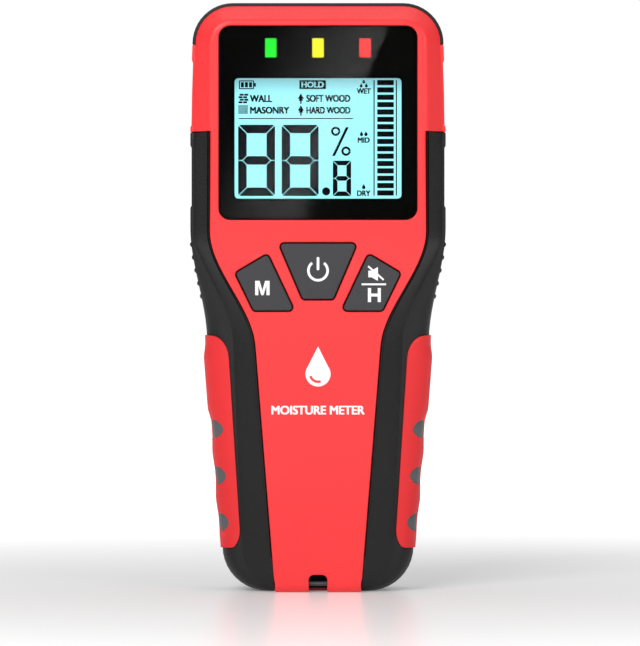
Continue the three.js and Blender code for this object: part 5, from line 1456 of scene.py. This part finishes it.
# ---------------------------------------------------------------- keys and print
class METER_OT_keys(bpy.types.Operator):
    """Rubber keys with crowned tops and their white signs"""
    bl_idname = "meter.keys"
    bl_label = "Keys"

    def execute(self, context):
        proud = context.scene.meter_sizes.key_proud / MM
        for name, corners in KEY_SHAPES.items():
            def ring(grow, lift):
                return [on_face(x, z, lift) for x, z in rounded(corners, KEY_CORNER, grow, 6)]
            rails = [[Vector((point.x, KEY_REAR, point.z)) for point in ring(0.0, 0.0)]]
            rails += [ring(0.0, -0.6), ring(0.0, proud - KEY_ROUND)]
            rails += [ring(-KEY_ROUND * (1.0 - math.cos(turn)), proud - KEY_ROUND + 0.42 * math.sin(turn))
                      for turn in steps(0.0, math.pi / 2, 4)[1:]]
            rails += [ring(-0.9, proud - 0.03), ring(-1.3, proud), ring(-1.7, proud)]
            bm = bmesh.new()
            tube(bm, rails)
            tidy_normals(bm)
            piece(name + "_key_cap", bm, ["key_rubber"], body=name + "_key", replaces=[name + "_key"],
                  sharp=45.0)
            bm = bmesh.new()

            def mark(outline, sunk=0.0):
                slab(bm, outline, -0.03 + sunk, 0.06)

            if name == "power":
                mark(arc_band(2.25, 2.95, 128.0, 412.0, 0.0, 87.3))
                mark(rounded(rectangle(0.72, 3.6, 0.0, 89.2), 0.3, 0.0, 4))
            elif name == "mode":
                left, right, foot, top, stroke, middle = -17.0, -13.1, 80.65, 84.55, 0.85, -15.05
                mark([(left, foot), (left + stroke, foot), (left + stroke, top - 1.3),
                      (middle - 0.3, foot), (middle + 0.3, foot), (right - stroke, top - 1.3),
                      (right - stroke, foot), (right, foot), (right, top), (right - 1.2, top),
                      (middle, foot + 1.3), (left + 1.2, top), (left, top)])
            else:
                left, right, foot, top, stroke, middle = 13.5, 17.0, 78.8, 82.6, 0.85, 80.7
                mark([(left, foot), (left + stroke, foot), (left + stroke, middle - 0.4),
                      (right - stroke, middle - 0.4), (right - stroke, foot), (right, foot), (right, top),
                      (right - stroke, top), (right - stroke, middle + 0.4), (left + stroke, middle + 0.4),
                      (left + stroke, top), (left, top)])
                mark(rectangle(6.6, 0.5, 15.1, 83.6))
                mark([(13.6, 85.5), (14.5, 85.5), (16.2, 84.5), (16.2, 88.3), (14.5, 87.3), (13.6, 87.3)])
                mark(anticlockwise([(13.4, 88.3), (17.6, 84.6), (17.9, 85.0), (13.7, 88.7)]), 0.005)
            for vert in bm.verts:
                vert.co.y += face_depth(vert.co.z) - proud - 0.02
            tidy_normals(bm)
            piece(name + "_sign", bm, ["white_print"], body=name + "_key",
                  weighted=False)
        return {"FINISHED"}


class METER_OT_face_print(bpy.types.Operator):
    """Printed drop mark and description on the handle"""
    bl_idname = "meter.face_print"
    bl_label = "Face print"

    def execute(self, context):
        thick = context.scene.meter_sizes.print_thickness / MM
        bm = bmesh.new()
        x, z, radius = 0.0, 59.3, 3.4
        outer = [Vector((x, z + 2.2 * radius))]
        outer += [Vector((x + radius * math.sin(turn), z - radius * math.cos(turn)))
                  for turn in steps(-2.2, 2.2, 36)]
        slab(bm, outer, HANDLE_FACE - thick, HANDLE_FACE + 0.02)
        cutter = bmesh.new()
        glint = arc_band(radius * 0.52, radius * 0.72, 195.0, 290.0, x, z)
        slab(cutter, glint, HANDLE_FACE - 1.0, HANDLE_FACE + 1.0)
        bm = carve(bm, cutter)
        lettering(bm, "MOISTURE METER", 25.3, 2.4, 0.0, 49.5, HANDLE_FACE - thick / 2, thick, 0.24)
        for vert in bm.verts:
            vert.co.y += face_depth(vert.co.z) - HANDLE_FACE
        tidy_normals(bm)
        piece("face_print", bm, ["white_print"], weighted=False)
        return {"FINISHED"}


# ---------------------------------------------------------------- fasteners and inside
class METER_OT_case_screws(bpy.types.Operator):
    """Pan-head case screws with cross recesses"""
    bl_idname = "meter.case_screws"
    bl_label = "Case screws"

    def execute(self, context):
        for name, (x, z) in SCREWS.items():
            bm = bmesh.new()
            profile = [(0.0, -4.5), (0.6, -4.5), (1.25, -3.6), (1.25, 6.55), (2.3, 6.55), (2.4, 6.7),
                       (2.4, 7.4), (2.2, 7.85), (1.7, 8.15), (1.0, 8.3), (0.0, 8.35)]
            verts = [bm.verts.new((r, y, 0.0)) for r, y in profile]
            edges = [bm.edges.new(pair) for pair in zip(verts, verts[1:])]
            bmesh.ops.spin(bm, geom=verts + edges, axis=(0.0, 1.0, 0.0), cent=(0.0, 0.0, 0.0),
                           angle=2 * math.pi, steps=32, use_merge=True)
            tidy_normals(bm)
            bmesh.ops.translate(bm, vec=(x, 0.0, z), verts=bm.verts)
            for across, up in ((1.35, 0.3), (0.3, 1.35)):
                cutter = bmesh.new()
                block(cutter, (x - across, 7.45, z - up), (x + across, 9.0, z + up))
                bm = carve(bm, cutter)
            piece(name.replace("case_screw", "steel_screw"), bm, ["dark_steel"], replaces=[name])
        return {"FINISHED"}


class METER_OT_strap_bar(bpy.types.Operator):
    """Steel pin across the strap notch"""
    bl_idname = "meter.strap_bar"
    bl_label = "Strap bar"

    def execute(self, context):
        bm = bmesh.new()
        rod(bm, (-3.4, -7.5, 2.4), (3.4, -7.5, 2.4), 0.9, 28)
        soften(bm, 0.15, 60.0)
        piece("strap_pin", bm, ["dark_steel"], replaces=["strap_bar"])
        return {"FINISHED"}


# Finishes of the parts that keep the frame's own form.
INNER_FINISHES = {
    "circuit_board": ("main_board", "sensor_board"),
    "copper": ("sensor_electrode",),
    "brass": ("battery_plus", "battery_minus", "contact_plus", "contact_minus", "board_link"),
    "steel": ("board_screw_upper_left", "board_screw_upper_right", "board_screw_lower_left",
              "board_screw_lower_right"),
    "battery_jacket": ("battery_case",),
    "black_plastic": ("controller_chip", "buzzer", "light_shield", "lcd_frame", "contact_block",
                      "power_switch", "mode_switch", "hold_switch"),
    "white_plastic": ("lcd_backlight", "power_plunger", "mode_plunger", "hold_plunger", "led_green",
                      "led_yellow", "led_red"),
    "grey_rubber": ("zebra_strip",),
    "grey_foam": ("battery_foam",),
}


class METER_OT_inner_parts(bpy.types.Operator):
    """Finishes for the boards, battery, contacts, switches and other inner parts"""
    bl_idname = "meter.inner_parts"
    bl_label = "Inner parts"

    def execute(self, context):
        dressed = set()
        for name, nodes in INNER_FINISHES.items():
            for node in nodes:
                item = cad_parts[node]
                for slot in item.material_slots:
                    slot.material = finish(name)
                dressed.add(node)
        shown = {node for node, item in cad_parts.items() if not item.hide_render}
        if shown - dressed:
            raise RuntimeError(f"no finish for {sorted(shown - dressed)}")
        return {"FINISHED"}


# ---------------------------------------------------------------- stage
# Lengths on the stage are metres. The dim card's edge slants: its x grows by the slant with height
# and starts this far to the left.
CARD_DEPTH, SHEEN_SLANT, SHEEN_START, SHEEN_STRENGTH = -1.6, 0.4537, 0.0659, 7.0
# The camera stands over this x and aims at this height; the lights aim at theirs.
MIDDLE_X, AIM_HEIGHT, LIGHT_HEIGHT = 0.00054, 0.073, 0.08
FLOOR_RADIUS, FLOOR_GLOW = 6.0, 0.8
WHITE, BLACK = (1.0, 1.0, 1.0, 1.0), (0.0, 0.0, 0.0, 1.0)


def stage_item(name, bm, reflected=False):
    """An object of the stage; a reflected one shows only in glossy surfaces."""
    mesh = bpy.data.meshes.new(name)
    bm.to_mesh(mesh)
    bm.free()
    item = bpy.data.objects.new(name, mesh)
    bpy.context.scene.collection.objects.link(item)
    if reflected:
        item.visible_camera = item.visible_diffuse = item.visible_shadow = item.visible_transmission = False
    return item


def pale_floor():
    """Pale floor with a painted glow that grows with distance, so that it is painted darker round the meter
    and brightens into the white background.
    """
    paper = bpy.data.materials.new("pale_floor")
    paper.use_nodes = True
    tree, shader = paper.node_tree, paper.node_tree.nodes["Principled BSDF"]
    place = own_place(tree)
    length = tree.nodes.new("ShaderNodeVectorMath")
    length.operation = "LENGTH"
    tree.links.new(place, length.inputs[0])
    # Painted light: the floor glows of itself, weakly near the meter and fully far away, which paints shade
    # round the meter's foot.
    far = range_node(tree, length.outputs["Value"], 0.04, 0.55, 0.2, 1.0)
    shader.inputs["Base Color"].default_value = (0.88, 0.88, 0.88, 1.0)
    shader.inputs["Roughness"].default_value = 0.28
    tree.links.new(mix_colour(tree, far, BLACK, WHITE), shader.inputs["Emission Color"])
    shader.inputs["Emission Strength"].default_value = FLOOR_GLOW
    return paper


def card_material(name, strength):
    """A black card, or with a strength one that glows most along its slanting edge."""
    material = bpy.data.materials.new(name)
    material.use_nodes = True
    tree, shader = material.node_tree, material.node_tree.nodes["Principled BSDF"]
    shader.inputs["Base Color"].default_value = BLACK
    shader.inputs["Specular IOR Level"].default_value = 0.0
    if strength:
        parts = tree.nodes.new("ShaderNodeSeparateXYZ")
        tree.links.new(own_place(tree), parts.inputs[0])
        across = math_node(tree, "ADD", parts.outputs["X"],
                           math_node(tree, "MULTIPLY_ADD", parts.outputs["Z"], -SHEEN_SLANT, SHEEN_START))
        glow = range_node(tree, across, -0.075, -0.001)
        tree.links.new(mix_colour(tree, glow, BLACK, WHITE), shader.inputs["Emission Color"])
        shader.inputs["Emission Strength"].default_value = strength
    return material


class METER_OT_stage(bpy.types.Operator):
    """Plain pale floor, white surroundings, soft lights, cards for reflections and the camera"""
    bl_idname = "meter.stage"
    bl_label = "Stage"

    def execute(self, context):
        studio = context.scene.meter_studio
        scene = context.scene
        bm = bmesh.new()
        bmesh.ops.create_circle(bm, cap_ends=True, segments=96, radius=FLOOR_RADIUS)
        floor = stage_item("floor", bm)
        floor.data.materials.append(pale_floor())

        world = scene.world or bpy.data.worlds.new("studio")
        scene.world = world
        world.use_nodes = True
        tree = world.node_tree
        # The room lights the meter softly, and is plain white where the camera sees it.
        room = tree.nodes["Background"]
        room.inputs["Color"].default_value = WHITE
        room.inputs["Strength"].default_value = studio.room_light
        seen = tree.nodes.new("ShaderNodeBackground")
        rays, either = tree.nodes.new("ShaderNodeLightPath"), tree.nodes.new("ShaderNodeMixShader")
        tree.links.new(rays.outputs["Is Camera Ray"], either.inputs["Fac"])
        tree.links.new(room.outputs[0], either.inputs[1])
        seen.inputs["Color"].default_value = WHITE
        tree.links.new(seen.outputs[0], either.inputs[2])
        tree.links.new(either.outputs[0], tree.nodes["World Output"].inputs["Surface"])
        scene.view_settings.view_transform = "Standard"

        # Dark and dim cards behind the camera, seen only in reflections: they give the window its sheen.
        dark = bmesh.new()
        block(dark, (-0.6, CARD_DEPTH - 0.03, -0.2), (0.6, CARD_DEPTH - 0.02, 0.75))
        paint = card_material("dark_card_paint", 0.0)
        stage_item("dark_card", dark, reflected=True).data.materials.append(paint)
        for x in (-0.75, 0.75):  # beside the meter, so that its flanks stay dark against the white
            flag = bmesh.new()
            block(flag, (x - 0.01, -0.5, -0.1), (x + 0.01, 0.5, 0.6))
            stage_item("side_card", flag, reflected=True).data.materials.append(paint)
        dim = bmesh.new()
        sweep(dim, [[Vector((SHEEN_SLANT * z - SHEEN_START - width, CARD_DEPTH, z)) for z in (-0.1, 0.6)]
                    for width in (0.0, 0.12)])
        paint = card_material("dim_card", SHEEN_STRENGTH)
        stage_item("dim_card", dim, reflected=True).data.materials.append(paint)

        def panel(name, place, width, height, power):
            light = bpy.data.lights.new(name, "AREA")
            light.shape, light.size, light.size_y, light.energy = "RECTANGLE", width, height, power
            item = bpy.data.objects.new(name, light)
            item.location = place
            facing = Vector((0.0, 0.0, LIGHT_HEIGHT)) - Vector(place)
            item.rotation_euler = facing.to_track_quat("-Z", "Y").to_euler()
            scene.collection.objects.link(item)

        panel("key_light", (-0.55, -1.3, 0.95), 0.8, 0.8, 15.5)
        panel("fill_light", (0.9, -1.0, 0.5), 0.6, 0.6, 3.0)
        panel("top_light", (0.0, 0.2, 1.4), 1.2, 0.8, 2.5)

        camera = bpy.data.cameras.new("camera")
        camera.lens, camera.sensor_width = studio.lens, 36.0
        item = bpy.data.objects.new("camera", camera)
        item.location = (MIDDLE_X, -studio.camera_distance, studio.camera_height)
        aim = Vector((MIDDLE_X, 0.0, AIM_HEIGHT)) - item.location
        item.rotation_euler = aim.to_track_quat("-Z", "Y").to_euler()
        scene.collection.objects.link(item)
        scene.camera = item
        return {"FINISHED"}


# ---------------------------------------------------------------- panel and registration
OPERATORS = (
    METER_OT_front_shell, METER_OT_top_bumper, METER_OT_side_grips, METER_OT_grip_pads,
    METER_OT_rear_shell, METER_OT_battery_door, METER_OT_sensing_pad, METER_OT_display_window,
    METER_OT_display_artwork, METER_OT_lamps, METER_OT_keys, METER_OT_face_print, METER_OT_case_screws,
    METER_OT_strap_bar, METER_OT_inner_parts, METER_OT_stage,
)


class METER_PT_panel(bpy.types.Panel):
    bl_idname = "METER_PT_panel"
    bl_label = "Moisture Meter"
    bl_space_type = "VIEW_3D"
    bl_region_type = "UI"
    bl_category = "Meter"

    def draw(self, context):
        for settings in ("meter_sizes", "meter_colours", "meter_studio"):
            values = getattr(context.scene, settings)
            box = self.layout.box()
            for name in values.__annotations__:
                box.prop(values, name)
        for operator in OPERATORS:
            self.layout.operator(operator.bl_idname)


CLASSES = (MeterSizes, MeterColours, MeterStudio, *OPERATORS, METER_PT_panel)


def register():
    for item in CLASSES:
        bpy.utils.register_class(item)
    bpy.types.Scene.meter_sizes = bpy.props.PointerProperty(type=MeterSizes)
    bpy.types.Scene.meter_colours = bpy.props.PointerProperty(type=MeterColours)
    bpy.types.Scene.meter_studio = bpy.props.PointerProperty(type=MeterStudio)


def unregister():
    del bpy.types.Scene.meter_studio
    del bpy.types.Scene.meter_colours
    del bpy.types.Scene.meter_sizes
    for item in reversed(CLASSES):
        bpy.utils.unregister_class(item)


def main():
    register()
    for operator in OPERATORS:
        area, name = operator.bl_idname.split(".")
        getattr(getattr(bpy.ops, area), name)()


if __name__ == "__main__":
    main()
